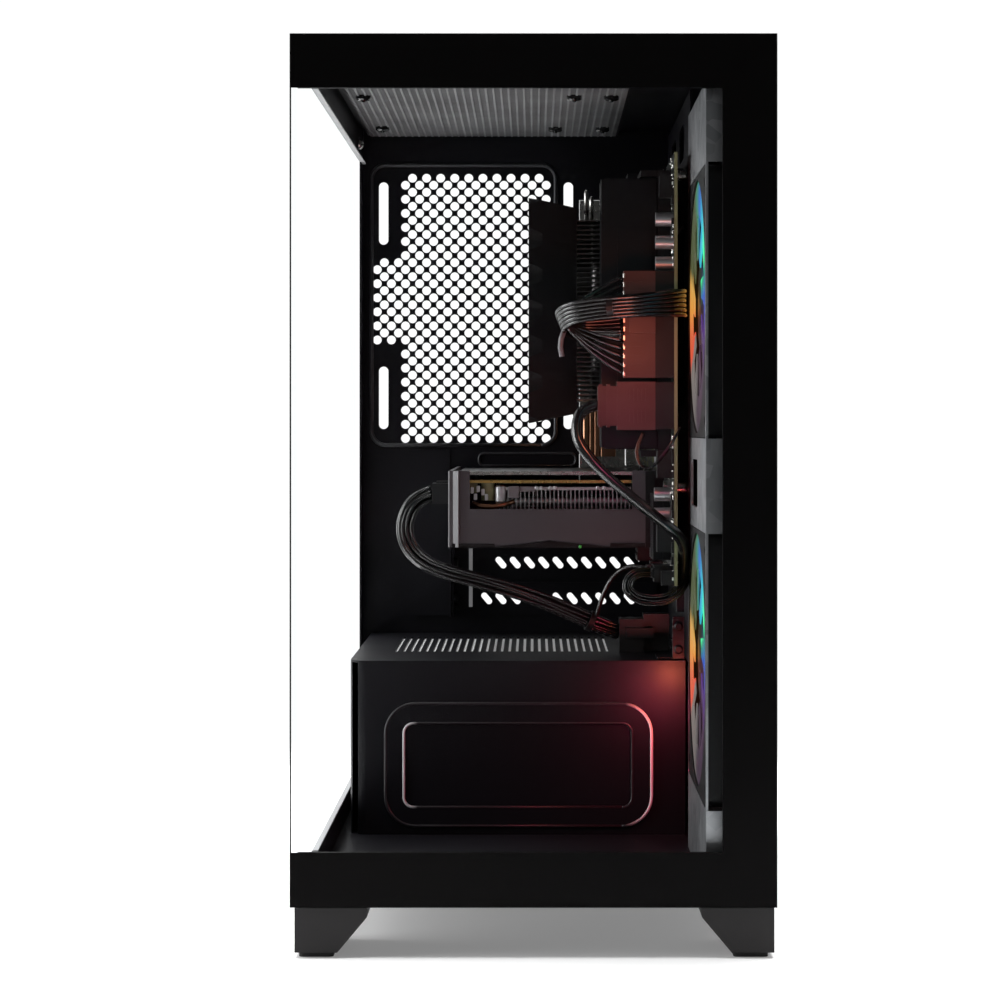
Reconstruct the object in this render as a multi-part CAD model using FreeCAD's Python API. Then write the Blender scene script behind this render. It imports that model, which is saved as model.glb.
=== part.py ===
import FreeCAD, Part
import math
import os

# A micro-ATX desktop computer tower with a glass front and a glass left side, in millimetres.
# +Z is up and the front glass faces -Y. The origin is on the floor under the middle of the case.
# Walls, circuit boards, cooler, card, power supply, fans and harness are separate pieces.

os.makedirs("parts", exist_ok=True)
V = FreeCAD.Vector

# ---- driving sizes ----
WIDTH = 210.0
DEPTH = 360.0
HEIGHT = 398.5
FOOT_HEIGHT = 22.0
GLASS = 3.0
SHEET = 1.0
GAP = 0.3
SIDE = WIDTH / 2
FRONT = -DEPTH / 2
BACK = DEPTH / 2
REAR_WALL = 168.0  # inner face of the rear wall
RAIL_X = -98.0  # left opening's frame
PAN_Z = 24.0  # underside of the base pan
ROOF_Z = 394.5  # underside of the vented roof floor
BRACKET_TOP = 380.0

FAN_SIZE = 120.0
FAN_DEPTH = 25.0
FAN_FACE_X = 75.2
FAN_Y = -100.0
FAN_CENTRES_Z = {"upper": 284.3, "lower": 122.0}

SHROUD_FRONT = -2.0
SHROUD_TOP = 112.0
SHROUD_LEFT = -92.0

BOARD_X = 67.3  # component face of the motherboard
BOARD_THICK = 1.6
BOARD_FRONT = -58.0
BOARD_LOW = 153.0
BOARD_HIGH = 360.5
TRAY_X = 76.6
TRAY_FRONT = -30.0

SLOT_PITCH = 20.32
SLOT_TOP_Z = 192.6
CPU_Y = 66.0
CPU_Z = 288.0

CARD_FRONT = 24.0
CARD_LEFT = -43.0
CARD_RIGHT = 62.0
CARD_PCB_Z = 200.2
CARD_LOW = 167.5

PSU_X = (-80.0, 70.0)
PSU_Y = (28.0, REAR_WALL - 0.2)
PSU_Z = (25.2, 110.7)

PLANES = {
    "xy": (V(1, 0, 0), V(0, 1, 0), V(0, 0, 1)),
    "xz": (V(1, 0, 0), V(0, 0, 1), V(0, 1, 0)),
    "yz": (V(0, 1, 0), V(0, 0, 1), V(1, 0, 0)),
}


# ---- helpers ----
def save(name, shape):
    """Write one piece to its own file and print its solids and volume."""
    print(name, len(shape.Solids), round(shape.Volume / 1000, 2), "cm3", shape.isValid())
    shape.exportStep("parts/" + name + ".step")


def block(x0, x1, y0, y1, z0, z1):
    """A box from its two corners, given axis by axis."""
    return Part.makeBox(x1 - x0, y1 - y0, z1 - z0, V(x0, y0, z0))


def rod(x, y, z, axis, radius, length):
    """A cylinder starting at a point and running along an axis, given as a letter."""
    direction = {"x": V(1, 0, 0), "y": V(0, 1, 0), "z": V(0, 0, 1)}[axis]
    return Part.makeCylinder(radius, length, V(x, y, z), direction)


def join(shapes):
    """Fuse pieces that touch into one solid."""
    first = shapes[0]
    return first.fuse(shapes[1:]).removeSplitter() if len(shapes) > 1 else first


def group(shapes):
    """Separate solids kept in one piece."""
    return Part.makeCompound(shapes)


def at(plane, level, u, v):
    """A point on a plane: u and v run along it, and level is its height."""
    along, up, out = PLANES[plane]
    return along * u + up * v + out * level


def polygon(plane, level, corners):
    """A closed outline through corners on a plane."""
    points = [at(plane, level, u, v) for u, v in corners]
    return Part.makePolygon(points + points[:1])


def rect(plane, level, u, v):
    """A rectangle from two (low, high) pairs."""
    return polygon(plane, level, [(u[0], v[0]), (u[1], v[0]), (u[1], v[1]), (u[0], v[1])])


def ring(plane, level, u, v, radius):
    """A circle on a plane."""
    return Part.Wire(Part.makeCircle(radius, at(plane, level, u, v), PLANES[plane][2]))


def rounded(plane, level, u0, u1, v0, v1, radius):
    """A rectangle with round corners on a plane."""
    corners = [(u1 - radius, v0 + radius, -90), (u1 - radius, v1 - radius, 0)]
    corners += [(u0 + radius, v1 - radius, 90), (u0 + radius, v0 + radius, 180)]
    edges = []
    last = None
    for cu, cv, start in corners:
        arc = []
        for turn in (0, 45, 90):
            angle = math.radians(start + turn)
            arc.append(at(plane, level, cu + radius * math.cos(angle), cv + radius * math.sin(angle)))
        if last is not None:
            edges.append(Part.LineSegment(last, arc[0]).toShape())
        edges.append(Part.Arc(*arc).toShape())
        last = arc[2]
    first = edges[0].Vertexes[0].Point
    edges.append(Part.LineSegment(last, first).toShape())
    return Part.Wire(edges)


def slot(plane, level, u, v, length, width, angle=0.0):
    """A slot with round ends about a centre, its long side turned by angle from u."""
    half = (length - width) / 2
    lean = math.radians(angle)

    def point(a, b):
        turned_u = a * math.cos(lean) - b * math.sin(lean)
        turned_v = a * math.sin(lean) + b * math.cos(lean)
        return at(plane, level, u + turned_u, v + turned_v)

    r = width / 2
    edges = [
        Part.LineSegment(point(-half, -r), point(half, -r)).toShape(),
        Part.Arc(point(half, -r), point(half + r, 0), point(half, r)).toShape(),
        Part.LineSegment(point(half, r), point(-half, r)).toShape(),
        Part.Arc(point(-half, r), point(-half - r, 0), point(-half, -r)).toShape(),
    ]
    return Part.Wire(edges)


def plate(plane, thick, outer, holes=()):
    """A sheet of one outline with holes in it, thickened along the plane's normal."""
    face = Part.makeFace([Part.Wire(outer)] + list(holes), "Part::FaceMakerBullseye")
    return face.extrude(PLANES[plane][2] * thick)


def grid(start, pitch, count):
    """Evenly spaced numbers."""
    return [start + pitch * i for i in range(count)]


def lead(points, radius):
    """A round lead along straight runs joined by tangent arcs; prints its radii and volume."""
    places = [V(*p) for p in points]
    edges = []
    radii = []
    start = places[0]
    for before, here, after in zip(places, places[1:], places[2:]):
        come = (here - before).normalize()
        leave = (after - here).normalize()
        turn = come.getAngle(leave)
        reach = 0.45 * min(here.distanceToPoint(before), here.distanceToPoint(after))
        bend = reach / math.tan(turn / 2)
        radii.append(round(bend, 1))
        arc_start = here - come * reach
        arc_end = here + leave * reach
        inward = (leave - come).normalize()
        middle = here + inward * (bend / math.cos(turn / 2) - bend)
        edges.append(Part.LineSegment(start, arc_start).toShape())
        edges.append(Part.Arc(arc_start, middle, arc_end).toShape())
        start = arc_end
    edges.append(Part.LineSegment(start, places[-1]).toShape())
    path = Part.Wire(edges)
    profile = Part.Wire(Part.makeCircle(radius, places[0], places[1] - places[0]))
    solid = path.makePipeShell([profile], True, False)
    expected = math.pi * radius ** 2 * path.Length
    print("  lead length", round(path.Length, 1), "radii", radii, "volume", round(solid.Volume / expected, 4))
    return solid


# ---- glass and frame ----
WINDOW_RIGHT = 81.5
WINDOW_LOW = 45.7
WINDOW_HIGH = 375.1
FRAME_BACK = FRONT + GLASS + 2.5


def front_glass():
    return block(-SIDE, SIDE, FRONT, FRONT + GLASS, FOOT_HEIGHT, HEIGHT)


def front_frame():
    """The black border: three bands behind the glass, open on the left."""
    left = -SIDE + GLASS + GAP
    y = FRONT + GLASS
    bands = polygon("xz", y, [
        (left, FOOT_HEIGHT), (SIDE, FOOT_HEIGHT), (SIDE, HEIGHT), (left, HEIGHT),
        (left, WINDOW_HIGH), (WINDOW_RIGHT, WINDOW_HIGH), (WINDOW_RIGHT, WINDOW_LOW), (left, WINDOW_LOW),
    ])
    return plate("xz", FRAME_BACK - y, bands)


STUD_PLACES = [(-150.0, 386.5), (140.0, 386.5), (-150.0, 33.0), (140.0, 33.0)]
STUD_RADIUS = 3.0


def side_glass():
    return block(-SIDE, -SIDE + GLASS, FRONT + GLASS + GAP, BACK - 2, FOOT_HEIGHT + 0.5, HEIGHT - 0.5)


def glass_studs():
    """Four ball studs on the inside of the side glass that push into the rails."""
    studs = []
    for y, z in STUD_PLACES:
        stem = rod(-SIDE + GLASS, y, z, "x", STUD_RADIUS * 0.6, 4.5)
        ball = Part.makeSphere(STUD_RADIUS, V(RAIL_X + 0.5, y, z))
        studs.append(join([stem, ball]))
    return group(studs)


# ---- steel walls ----
ROOF_LEFT = -SIDE + GLASS + GAP
ROOF_RIGHT = SIDE - SHEET - GAP
VENT_X = (-88.5, 42.0)
VENT_Y = (-34.0, 160.0)
BUTTON_X = 88.0
POWER_Y = -158.0
RESET_Y = -138.0
PORT_YS = (-118.0, -100.0)
JACK_Y = -84.0
POWER_RADIUS = 8.0
RESET_RADIUS = 3.5


def top_panel():
    """The roof sheet with a sunk, slotted floor for the filter and a flange down its left side."""
    inner_x = (VENT_X[0] - 4.5, VENT_X[1] + 5)
    inner_y = (VENT_Y[0] - 5, VENT_Y[1] + 5)
    outer_x = (inner_x[0] - SHEET, inner_x[1] + SHEET)
    outer_y = (inner_y[0] - SHEET, inner_y[1] + SHEET)
    level = HEIGHT - SHEET
    holes = [rect("xy", level, inner_x, inner_y), ring("xy", level, BUTTON_X, POWER_Y, POWER_RADIUS + GAP)]
    holes.append(ring("xy", level, BUTTON_X, RESET_Y, RESET_RADIUS + GAP))
    holes.append(ring("xy", level, BUTTON_X, JACK_Y, 3.0))
    for y in PORT_YS:
        holes.append(rounded("xy", level, BUTTON_X - 7, BUTTON_X + 7, y - 3.3, y + 3.3, 0.6))
    roof = rect("xy", level, (ROOF_LEFT, ROOF_RIGHT), (FRAME_BACK + GAP, BACK))
    sheet = plate("xy", SHEET, roof, holes)
    slits = []
    columns = grid(VENT_X[0] + 7.0, 12.9, 10)
    rows = grid(VENT_Y[0] + 3.0, 6.0, 32)
    for x in columns:
        for y in rows:
            slits.append(slot("xy", ROOF_Z, x, y, 9.6, 2.4))
    floor = plate("xy", SHEET, rect("xy", ROOF_Z, outer_x, outer_y), slits)
    foot = ROOF_Z + SHEET
    walls = plate("xy", level - foot, rect("xy", foot, outer_x, outer_y), [rect("xy", foot, inner_x, inner_y)])
    flange_holes = [ring("yz", RAIL_X, y, z, STUD_RADIUS + 1) for y, z in STUD_PLACES if z > 100]
    flange_edge = rect("yz", RAIL_X, (FRAME_BACK + 2, REAR_WALL - 14), (BRACKET_TOP - 1.5, level))
    flange = plate("yz", 0.8, flange_edge, flange_holes)
    return join([sheet, walls, floor, flange])


def top_filter():
    """A framed mesh that lies in the roof's sunk floor, held by magnets."""
    x = (VENT_X[0] - 4.0, VENT_X[1] + 4.5)
    y = (VENT_Y[0] - 4.5, VENT_Y[1] + 4.5)
    base = ROOF_Z + SHEET + 0.1
    windows = []
    for i in range(2):
        for j in range(3):
            u0 = x[0] + 5 + i * 68.5
            v0 = y[0] + 5 + j * 66.0
            windows.append(rounded("xy", base, u0, u0 + 60.5, v0, v0 + 60.5, 3))
    edge = rounded("xy", base, x[0], x[1], y[0], y[1], 2)
    frame = plate("xy", 2.4, edge, windows)
    mesh = block(x[0] + 2, x[1] - 2, y[0] + 2, y[1] - 2, base + 0.8, base + 1.2)
    return join([frame, mesh])


PSU_MIDDLE = (-5.0, 98.0)
FILTER_X = (-68.0, 58.0)


def base_pan():
    """The floor sheet with its left flange, intake slots and the bottom filter's two guides."""
    edge = polygon("xy", PAN_Z, [
        (ROOF_LEFT, FRAME_BACK + GAP), (ROOF_RIGHT, FRAME_BACK + GAP), (ROOF_RIGHT, BACK), (ROOF_LEFT, BACK),
    ])
    slots = []
    for x in grid(PSU_MIDDLE[0] - 52.5, 15.0, 8):
        for y in grid(PSU_MIDDLE[1] - 52.0, 6.5, 17):
            slots.append(slot("xy", PAN_Z, x, y, 11.0, 3.0))
    floor = plate("xy", SHEET, edge, slots)
    flange_holes = [ring("yz", RAIL_X, y, z, STUD_RADIUS + 1) for y, z in STUD_PLACES if z < 100]
    flange_edge = polygon("yz", RAIL_X, [
        (FRAME_BACK + 2, PAN_Z + SHEET), (REAR_WALL - 14, PAN_Z + SHEET),
        (REAR_WALL - 14, 41.5), (FRAME_BACK + 2, 41.5),
    ])
    flange = plate("yz", 0.8, flange_edge, flange_holes)
    guides = []
    for x, inward in ((FILTER_X[0] - 2, 1), (FILTER_X[1] + 0.5, -1)):
        guides.append(block(x, x + 1.5, 34, BACK - 2, 19.0, PAN_Z))
        lip = (x, x + 5) if inward > 0 else (x - 3.5, x + 1.5)
        guides.append(block(lip[0], lip[1], 34, BACK - 2, 19.0, 20.0))
    return join([floor, flange] + guides)


def psu_filter():
    """The bottom filter: a frame with mesh and a pull lip at the rear, in two guides."""
    z = 20.4
    windows = []
    for i in range(2):
        for j in range(2):
            u0 = FILTER_X[0] + 5 + i * 60.0
            v0 = 40.0 + j * 64.0
            windows.append(rounded("xy", z, u0, u0 + 56.0, v0, v0 + 59.0, 3))
    frame = plate("xy", 3.0, rounded("xy", z, FILTER_X[0], FILTER_X[1], 34.5, 172.0, 2), windows)
    mesh = block(FILTER_X[0] + 3, FILTER_X[1] - 3, 37, 168, z + 1.3, z + 1.7)
    lip = block(-25, 15, 172.0 - 0.5, BACK - 1, z, z + 3.0)
    return join([frame, mesh, lip])


THUMBSCREW_X = 98.0
THUMBSCREW_ZS = (100.0, 340.0)
EXHAUST_PITCH = 8.0
EXHAUST_TOP_Z = 370.5
EXHAUST_ROWS = 38
REAR_FAN = (-32.7, 298.0)
REAR_FAN_SLOT_X = 52.5
REAR_FAN_SLOT_Z = 52.4
IO_X = (26.0, 70.7)
IO_Z = (200.0, 358.0)


def exhaust_holes():
    """Round holes in staggered rows, two pitches wider beside the fan's hub."""
    wires = []
    for row in range(EXHAUST_ROWS):
        z = EXHAUST_TOP_Z - row * EXHAUST_PITCH / 2
        shift = 0.0 if row % 2 == 0 else -EXHAUST_PITCH / 2
        wide = 2 if 274.8 <= z <= 322.6 else 0
        first = -68.8 + shift - wide * EXHAUST_PITCH
        count = (10 if row % 2 == 0 else 11) + wide
        for x in grid(first, EXHAUST_PITCH, count):
            wires.append(ring("xz", REAR_WALL, x, z, 2.5))
    return wires


def rear_panel():
    """The rear wall: exhaust holes, fan slots, port opening, card openings and supply opening."""
    level = REAR_WALL
    holes = exhaust_holes()
    for x in (-1, 1):
        for z in (-1, 1):
            u = REAR_FAN[0] + x * REAR_FAN_SLOT_X
            v = REAR_FAN[1] + z * REAR_FAN_SLOT_Z
            holes.append(slot("xz", level, u, v, 35.5, 5.4, 90))
    holes.append(rect("xz", level, IO_X, IO_Z))
    for i in range(4):
        z = SLOT_TOP_Z - i * SLOT_PITCH
        if i == 0:
            z -= 3.0
        holes.append(rect("xz", level, (-30, 60), (z - 6, z + 6)))
    holes.append(rounded("xz", level, -76, 66, 29, 107, 4))
    holes.append(ring("xz", level, -74.9, 170.9, 2.3))
    for z in THUMBSCREW_ZS:
        holes.append(ring("xz", level, THUMBSCREW_X, z, 2.2))
    wall_right = ROOF_RIGHT - GAP
    low, high = PAN_Z + SHEET, HEIGHT - SHEET
    edge = rect("xz", level, (RAIL_X, wall_right), (low, high))
    wall = plate("xz", SHEET, edge, holes)
    lip = block(RAIL_X, RAIL_X + SHEET, REAR_WALL - 13, REAR_WALL, low, high)
    raised = block(-68.6, -47.5, REAR_WALL - 2, REAR_WALL, 122.0, 216.0)
    shelf = block(-47.5, -46.5, REAR_WALL - 13, REAR_WALL, 122.0, 204.0)
    return join([wall, lip, raised, shelf])


COVER_VENT_PITCH = 8.1


def slot_covers():
    """Two covers over the free card openings, with slanted vents and a bent screw tab."""
    covers = []
    y = REAR_WALL - 1.2
    for i in (2, 3):
        z = SLOT_TOP_Z - i * SLOT_PITCH
        first = -18.5 if i == 2 else -18.5 - COVER_VENT_PITCH
        vents = [slot("xz", y, x, z, 7.6, 3.5, -50) for x in grid(first, COVER_VENT_PITCH, 11)]
        edge = rect("xz", y, (-45, 70), (z - 9.2, z + 9.2))
        cover = plate("xz", 0.9, edge, vents)
        tab = block(-46.3, -45, y - 11, y + 0.9, z - 9.2, z + 9.2)
        screw = rod(-45.0, y - 6, z, "x", 3.2, 2.2)
        covers.append(join([cover, tab, screw]))
    return group(covers)


def motherboard_tray():
    """The sheet that carries the motherboard, with a cooler window and cable slots."""
    x = TRAY_X
    holes = [rounded("yz", x, CPU_Y - 48, CPU_Y + 42, 240, 332, 6)]
    holes.append(rounded("yz", x, 20, 60, 366, 384, 5))
    holes.append(rounded("yz", x, 90, 130, 366, 384, 5))
    edge = rect("yz", x, (TRAY_FRONT, REAR_WALL - 0.2), (SHROUD_TOP + 0.5, ROOF_Z - 0.3))
    return plate("yz", SHEET, edge, holes)


SHROUD_VENT_PITCH = 3.93
SHROUD_VENT_WIDTH = 1.4


def psu_shroud():
    """A three-sided cover over the power supply with vents on top and a raised rim in front."""
    right = TRAY_X - 0.6
    low = PAN_Z + SHEET
    front, top, left = SHROUD_FRONT, SHROUD_TOP, SHROUD_LEFT
    back = REAR_WALL - 0.3
    outside = block(left, right, front, back, low, top)
    inside = block(left + SHEET, right + 1, front + SHEET, back + 1, low - 1, top - SHEET)
    corner = []
    for e in outside.Edges:
        if abs(e.CenterOfMass.x - left) < 0.1 and abs(e.CenterOfMass.y - front) < 0.1:
            corner.append(e)
    shell = outside.makeFillet(8.0, corner).cut(inside)
    vents = []
    half = SHROUD_VENT_WIDTH / 2
    for x in grid(-71.5, SHROUD_VENT_PITCH, 29):
        vents.append(block(x - half, x + half, 50.0, 139.0, top - 2, top + 1))
    vents.append(block(50.0, 73.0, 70.0, 150.0, top - 2, top + 1))
    rim_out = plate("xz", 1.4, rounded("xz", front - 1.4, -74, 59, 29.5, 90.6, 15),
                    [rounded("xz", front - 1.4, -65, 49.4, 38.8, 80.9, 5)])
    return join([shell.cut(group(vents)), rim_out])


def right_side_panel():
    """The steel right side with intake slots beside the fans and a rear lip for its thumbscrews."""
    x = SIDE - SHEET
    holes = []
    for centre in FAN_CENTRES_Z.values():
        for y in grid(FAN_Y - 45.0, 18.0, 6):
            for z in grid(centre - 50.0, 10.0, 11):
                holes.append(slot("yz", x, y, z, 14.0, 4.0, 45))
    edge = rect("yz", x, (FRAME_BACK + GAP, BACK), (FOOT_HEIGHT + 0.5, HEIGHT - 0.5))
    skin = plate("yz", SHEET, edge, holes)
    lip_y = REAR_WALL + SHEET + 1.0
    screw_holes = [ring("xz", lip_y, THUMBSCREW_X, z, 2.2) for z in THUMBSCREW_ZS]
    lip = plate("xz", SHEET, rect("xz", lip_y, (91, x + 0.2), (60, BRACKET_TOP)), screw_holes)
    return join([skin, lip])


def panel_thumbscrews():
    """Two knurled thumbscrews in the right panel's rear lip."""
    screws = []
    lip_y = REAR_WALL + SHEET + 1.0
    for z in THUMBSCREW_ZS:
        shank = rod(THUMBSCREW_X, lip_y - 0.7, z, "y", 1.8, 2.5)
        head = rod(THUMBSCREW_X, lip_y + SHEET, z, "y", 6.0, 6.0)
        grooves = []
        for i in range(16):
            angle = math.radians(22.5 * i)
            x = THUMBSCREW_X + 6.2 * math.cos(angle)
            grooves.append(rod(x, lip_y, z + 6.2 * math.sin(angle), "y", 0.6, 8))
        screws.append(join([shank, head.cut(group(grooves))]))
    return group(screws)


def side_fan_bracket():
    """The zinc-plated plate that frames the two side fans, with a cable window between them."""
    x = FAN_FACE_X
    half = FAN_SIZE / 2 + 0.4
    front, back = FAN_Y - half - 3, FAN_Y + half + 1
    holes = []
    for centre in FAN_CENTRES_Z.values():
        holes.append(rounded("yz", x, FAN_Y - half, FAN_Y + half, centre - half, centre + half, 2))
    holes.append(rounded("yz", x, FAN_Y - 6, FAN_Y + 38, 192, 214, 2))
    foot = PAN_Z + SHEET + 0.2
    inner = plate("yz", SHEET, rect("yz", x, (front, back), (foot, BRACKET_TOP)), holes)
    lower, upper = FAN_CENTRES_Z["lower"], FAN_CENTRES_Z["upper"]
    outer_x = SIDE - SHEET - 0.6
    webs = []
    for z0, z1 in ((foot, lower - half), (lower + half, upper - half), (upper + half, BRACKET_TOP)):
        webs.append(block(x, outer_x, front - SHEET, front, z0, z1))
    shelves = [block(x, outer_x, front, back, z, z + SHEET) for z in (186.0, 219.0)]
    return join([inner] + webs + shelves)


# ---- feet and buttons ----
PAD_THICK = 2.5


def foot_profile(side, grow):
    """A foot's outline from the front: straight outside, sloping inwards on the inside."""
    top = FOOT_HEIGHT - GAP
    points = [(103, top), (71.5, top), (71.8, 17.7), (84.6, PAD_THICK), (103, PAD_THICK)]
    return [(side * (x + grow), z) for x, z in points]


def feet():
    """Four block feet with sloping inner faces and rounded lower edges."""
    blocks = []
    for side in (-1, 1):
        for y in (FRONT + GLASS + GAP + 0.2, BACK - 45):
            grow = 0.0 if side < 0 else 0.8
            foot = plate("xz", 42.0, polygon("xz", y, foot_profile(side, grow)))
            x = sorted((side * 76.0, side * 99.0))
            boss = block(x[0], x[1], y + 3, y + 39, FOOT_HEIGHT - GAP, PAN_Z)
            blocks.append(join([foot, boss]))
    return group(blocks)


def foot_pads():
    """A rubber pad under each foot."""
    pads = []
    for side in (-1, 1):
        for y in (FRONT + GLASS + 4, BACK - 41.5):
            x = (86.5, 101.5) if side > 0 else (-101.5, -86.5)
            pads.append(plate("xy", PAD_THICK, rounded("xy", 0, x[0], x[1], y, y + 35, 2)))
    return group(pads)


def button(y, radius, depth):
    """A push button: a flat cap with a flange under the roof."""
    cap = rod(BUTTON_X, y, HEIGHT - depth, "z", radius, depth - 0.1)
    flange = rod(BUTTON_X, y, HEIGHT - depth, "z", radius + 1.2, 1.2)
    return join([cap, flange])


def front_ports():
    """The front port board with two USB sockets and an audio jack under the roof."""
    board = block(78.0, 98.0, -124.0, -76.0, 383.0, 384.6)
    pieces = [board]
    for y in PORT_YS:
        shell = block(BUTTON_X - 6.6, BUTTON_X + 6.6, y - 2.9, y + 2.9, 384.6, HEIGHT - 0.2)
        mouth = block(BUTTON_X - 6.2, BUTTON_X + 6.2, y - 2.5, y + 2.5, 387, HEIGHT)
        tongue = block(BUTTON_X - 5.2, BUTTON_X + 5.2, y - 2.0, y, 386.5, HEIGHT - 1)
        pieces.append(shell.cut(mouth))
        pieces.append(tongue)
    jack = rod(BUTTON_X, JACK_Y, 384.6, "z", 2.9, HEIGHT - 0.2 - 384.6)
    pieces.append(jack.cut(rod(BUTTON_X, JACK_Y, 388, "z", 1.75, 20)))
    return join(pieces)


# ---- fans ----
def rotor(tip, hub, depth, blades, sweep, pitch):
    """A fan rotor about +Z, its hub on z = 0: a capped hub and swept, pitched blades."""
    body = Part.makeCylinder(hub, depth)
    parts = [body.makeFillet(1.2, [body.Edges[0]])]
    for i in range(blades):
        sections = []
        for share in (0.0, 0.5, 1.0):
            radius = hub - 0.8 + (tip - hub + 0.8) * share
            turn = 360.0 / blades * i + sweep * share
            chord = (2 * math.pi * radius / blades) * (0.74 + 0.1 * share)
            lean = pitch * (1 - 0.4 * share)
            wide = chord * math.cos(math.radians(lean)) / 2
            tall = min(chord * math.sin(math.radians(lean)) / 2, depth / 2 - 1.2)
            thick = 0.9
            corners = [V(radius, -wide, depth / 2 - tall), V(radius, wide, depth / 2 + tall)]
            corners += [V(radius, wide, depth / 2 + tall + thick), V(radius, -wide, depth / 2 - tall + thick)]
            wire = Part.makePolygon(corners + corners[:1])
            wire.rotate(V(0, 0, 0), V(0, 0, 1), turn)
            sections.append(wire)
        parts.append(Part.makeLoft(sections, True, True))
    return join(parts).common(Part.makeCylinder(tip, depth))


def fan_frame(size, depth, bore, holes, hub):
    """A square fan frame about +Z, its front face on z = 0, with struts to the motor seat."""
    half = size / 2
    edge = rounded("xy", 0, -half, half, -half, half, 5)
    corner = holes / 2
    cuts = [ring("xy", 0, x, y, 2.2) for x in (-corner, corner) for y in (-corner, corner)]
    frame = plate("xy", depth, edge, [ring("xy", 0, 0, 0, bore)] + cuts)
    seat = Part.makeCylinder(hub, 3.0, V(0, 0, depth - 3.0))
    struts = []
    for turn in (45, 135, 225, 315):
        strut = block(hub - 1, bore + 1, -1.6, 1.6, depth - 3.0, depth)
        strut.rotate(V(0, 0, 0), V(0, 0, 1), turn)
        struts.append(strut)
    return join([frame, seat] + struts)


def turned(shape, axis, angle, x, y, z):
    """A copy turned about an axis through the origin and then moved."""
    copy = shape.copy()
    copy.rotate(V(0, 0, 0), axis, angle)
    copy.translate(V(x, y, z))
    return copy


SIDE_ROTOR_DEPTH = 19.0
SIDE_ROTOR_TIP = 56.6
SIDE_HUB = 20.5


def side_fans():
    frame = fan_frame(FAN_SIZE, FAN_DEPTH, 58.2, 105.0, 20.0)
    wheel = rotor(SIDE_ROTOR_TIP, SIDE_HUB, SIDE_ROTOR_DEPTH, 9, 16, 40)
    for name, z in FAN_CENTRES_Z.items():
        save(name + "_fan_frame", turned(frame, V(0, 1, 0), 90, FAN_FACE_X, FAN_Y, z))
        save(name + "_rotor", turned(wheel, V(0, 1, 0), 90, FAN_FACE_X + 2.0, FAN_Y, z))


# ---- motherboard ----
def on_board(z0, z1, y0, y1, height):
    """A block standing on the component face."""
    return block(BOARD_X - height, BOARD_X, y0, y1, z0, z1)


SCREW_PLACES = [(y, z) for y in (8.0, 160.0) for z in (356.4, 199.0, 158.0)]


def motherboard_pcb():
    holes = [ring("yz", BOARD_X, y, z, 2.0) for y, z in SCREW_PLACES]
    edge = polygon("yz", BOARD_X, [
        (BOARD_FRONT, BOARD_LOW), (REAR_WALL - 1.5, BOARD_LOW), (REAR_WALL - 1.5, BOARD_HIGH),
        (BOARD_FRONT, BOARD_HIGH),
    ])
    return plate("yz", BOARD_THICK, edge, holes)


def board_standoffs():
    """A standoff behind the board and a screw head in front at each hole."""
    pieces = []
    for y, z in SCREW_PLACES:
        head = rod(BOARD_X - 1.8, y, z, "x", 3.0, 1.8)
        shank = rod(BOARD_X - 1.8, y, z, "x", 1.6, 5.0)
        post = rod(BOARD_X + BOARD_THICK, y, z, "x", 3.2, TRAY_X - BOARD_X - BOARD_THICK)
        pieces.append(join([head, shank, post]))
    return group(pieces)


def cpu_socket():
    """The socket, its load plate and the processor's lid."""
    base = on_board(CPU_Z - 26, CPU_Z + 26, CPU_Y - 24, CPU_Y + 24, 3.2)
    plate_ring = on_board(CPU_Z - 23, CPU_Z + 23, CPU_Y - 21, CPU_Y + 21, 4.2)
    lid = on_board(CPU_Z - 16, CPU_Z + 16, CPU_Y - 15, CPU_Y + 15, 5.6)
    lever = rod(BOARD_X - 4.6, CPU_Y + 22.5, CPU_Z - 24, "z", 0.9, 44)
    return join([base, plate_ring, lid, lever])


def finned(x_low, z0, z1, y0, y1, base, count):
    """A heatsink standing on the board, its fins side by side along Y."""
    parts = [block(BOARD_X - base, BOARD_X, y0, y1, z0, z1)]
    pitch = (y1 - y0) / count
    for i in range(count):
        start = y0 + pitch * (i + 0.2)
        parts.append(block(x_low, BOARD_X - base, start, start + pitch * 0.6, z0, z1))
    return join(parts)


def board_heatsinks():
    """Finned blocks over the power stage and a low block on the chipset."""
    top = finned(48.0, 347.0, 358.5, 22.0, 112.0, 6.0, 18)
    rear = finned(46.0, 236.0, 338.0, 126.0, 144.0, 6.0, 5)
    chipset = finned(58.5, 164.0, 196.0, -32.0, 1.0, 4.0, 7)
    return group([top, rear, chipset])


DIMM_YS = grid(-29.2, 9.4, 4)
MODULE_YS = (DIMM_YS[0], DIMM_YS[2])


def dimm_slots():
    """Four memory slots with end latches."""
    slots = []
    for y in DIMM_YS:
        body = on_board(214.5, 354.5, y - 3.2, y + 3.2, 6.5)
        groove = block(BOARD_X - 7, BOARD_X - 3, y - 0.9, y + 0.9, 217.5, 351.5)
        latches = [block(BOARD_X - 15, BOARD_X - 6.5, y - 2.4, y + 2.4, z, z + 3.0) for z in (214.5, 351.5)]
        slots.append(join([body.cut(groove)] + latches))
    return group(slots)


def ram_modules():
    """Two memory modules, each a board between two heat spreaders with a raised plate."""
    modules = []
    for y in MODULE_YS:
        board = block(35.0, BOARD_X - 3.2, y - 0.6, y + 0.6, 218.2, 350.8)
        spreader = block(33.0, BOARD_X - 7.2, y - 3.0, y + 3.0, 219.0, 350.0)
        raised = block(41.0, 57.5, y - 3.7, y + 3.7, 244.0, 326.0)
        modules.append(join([board, spreader, raised]))
    return group(modules)


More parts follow.
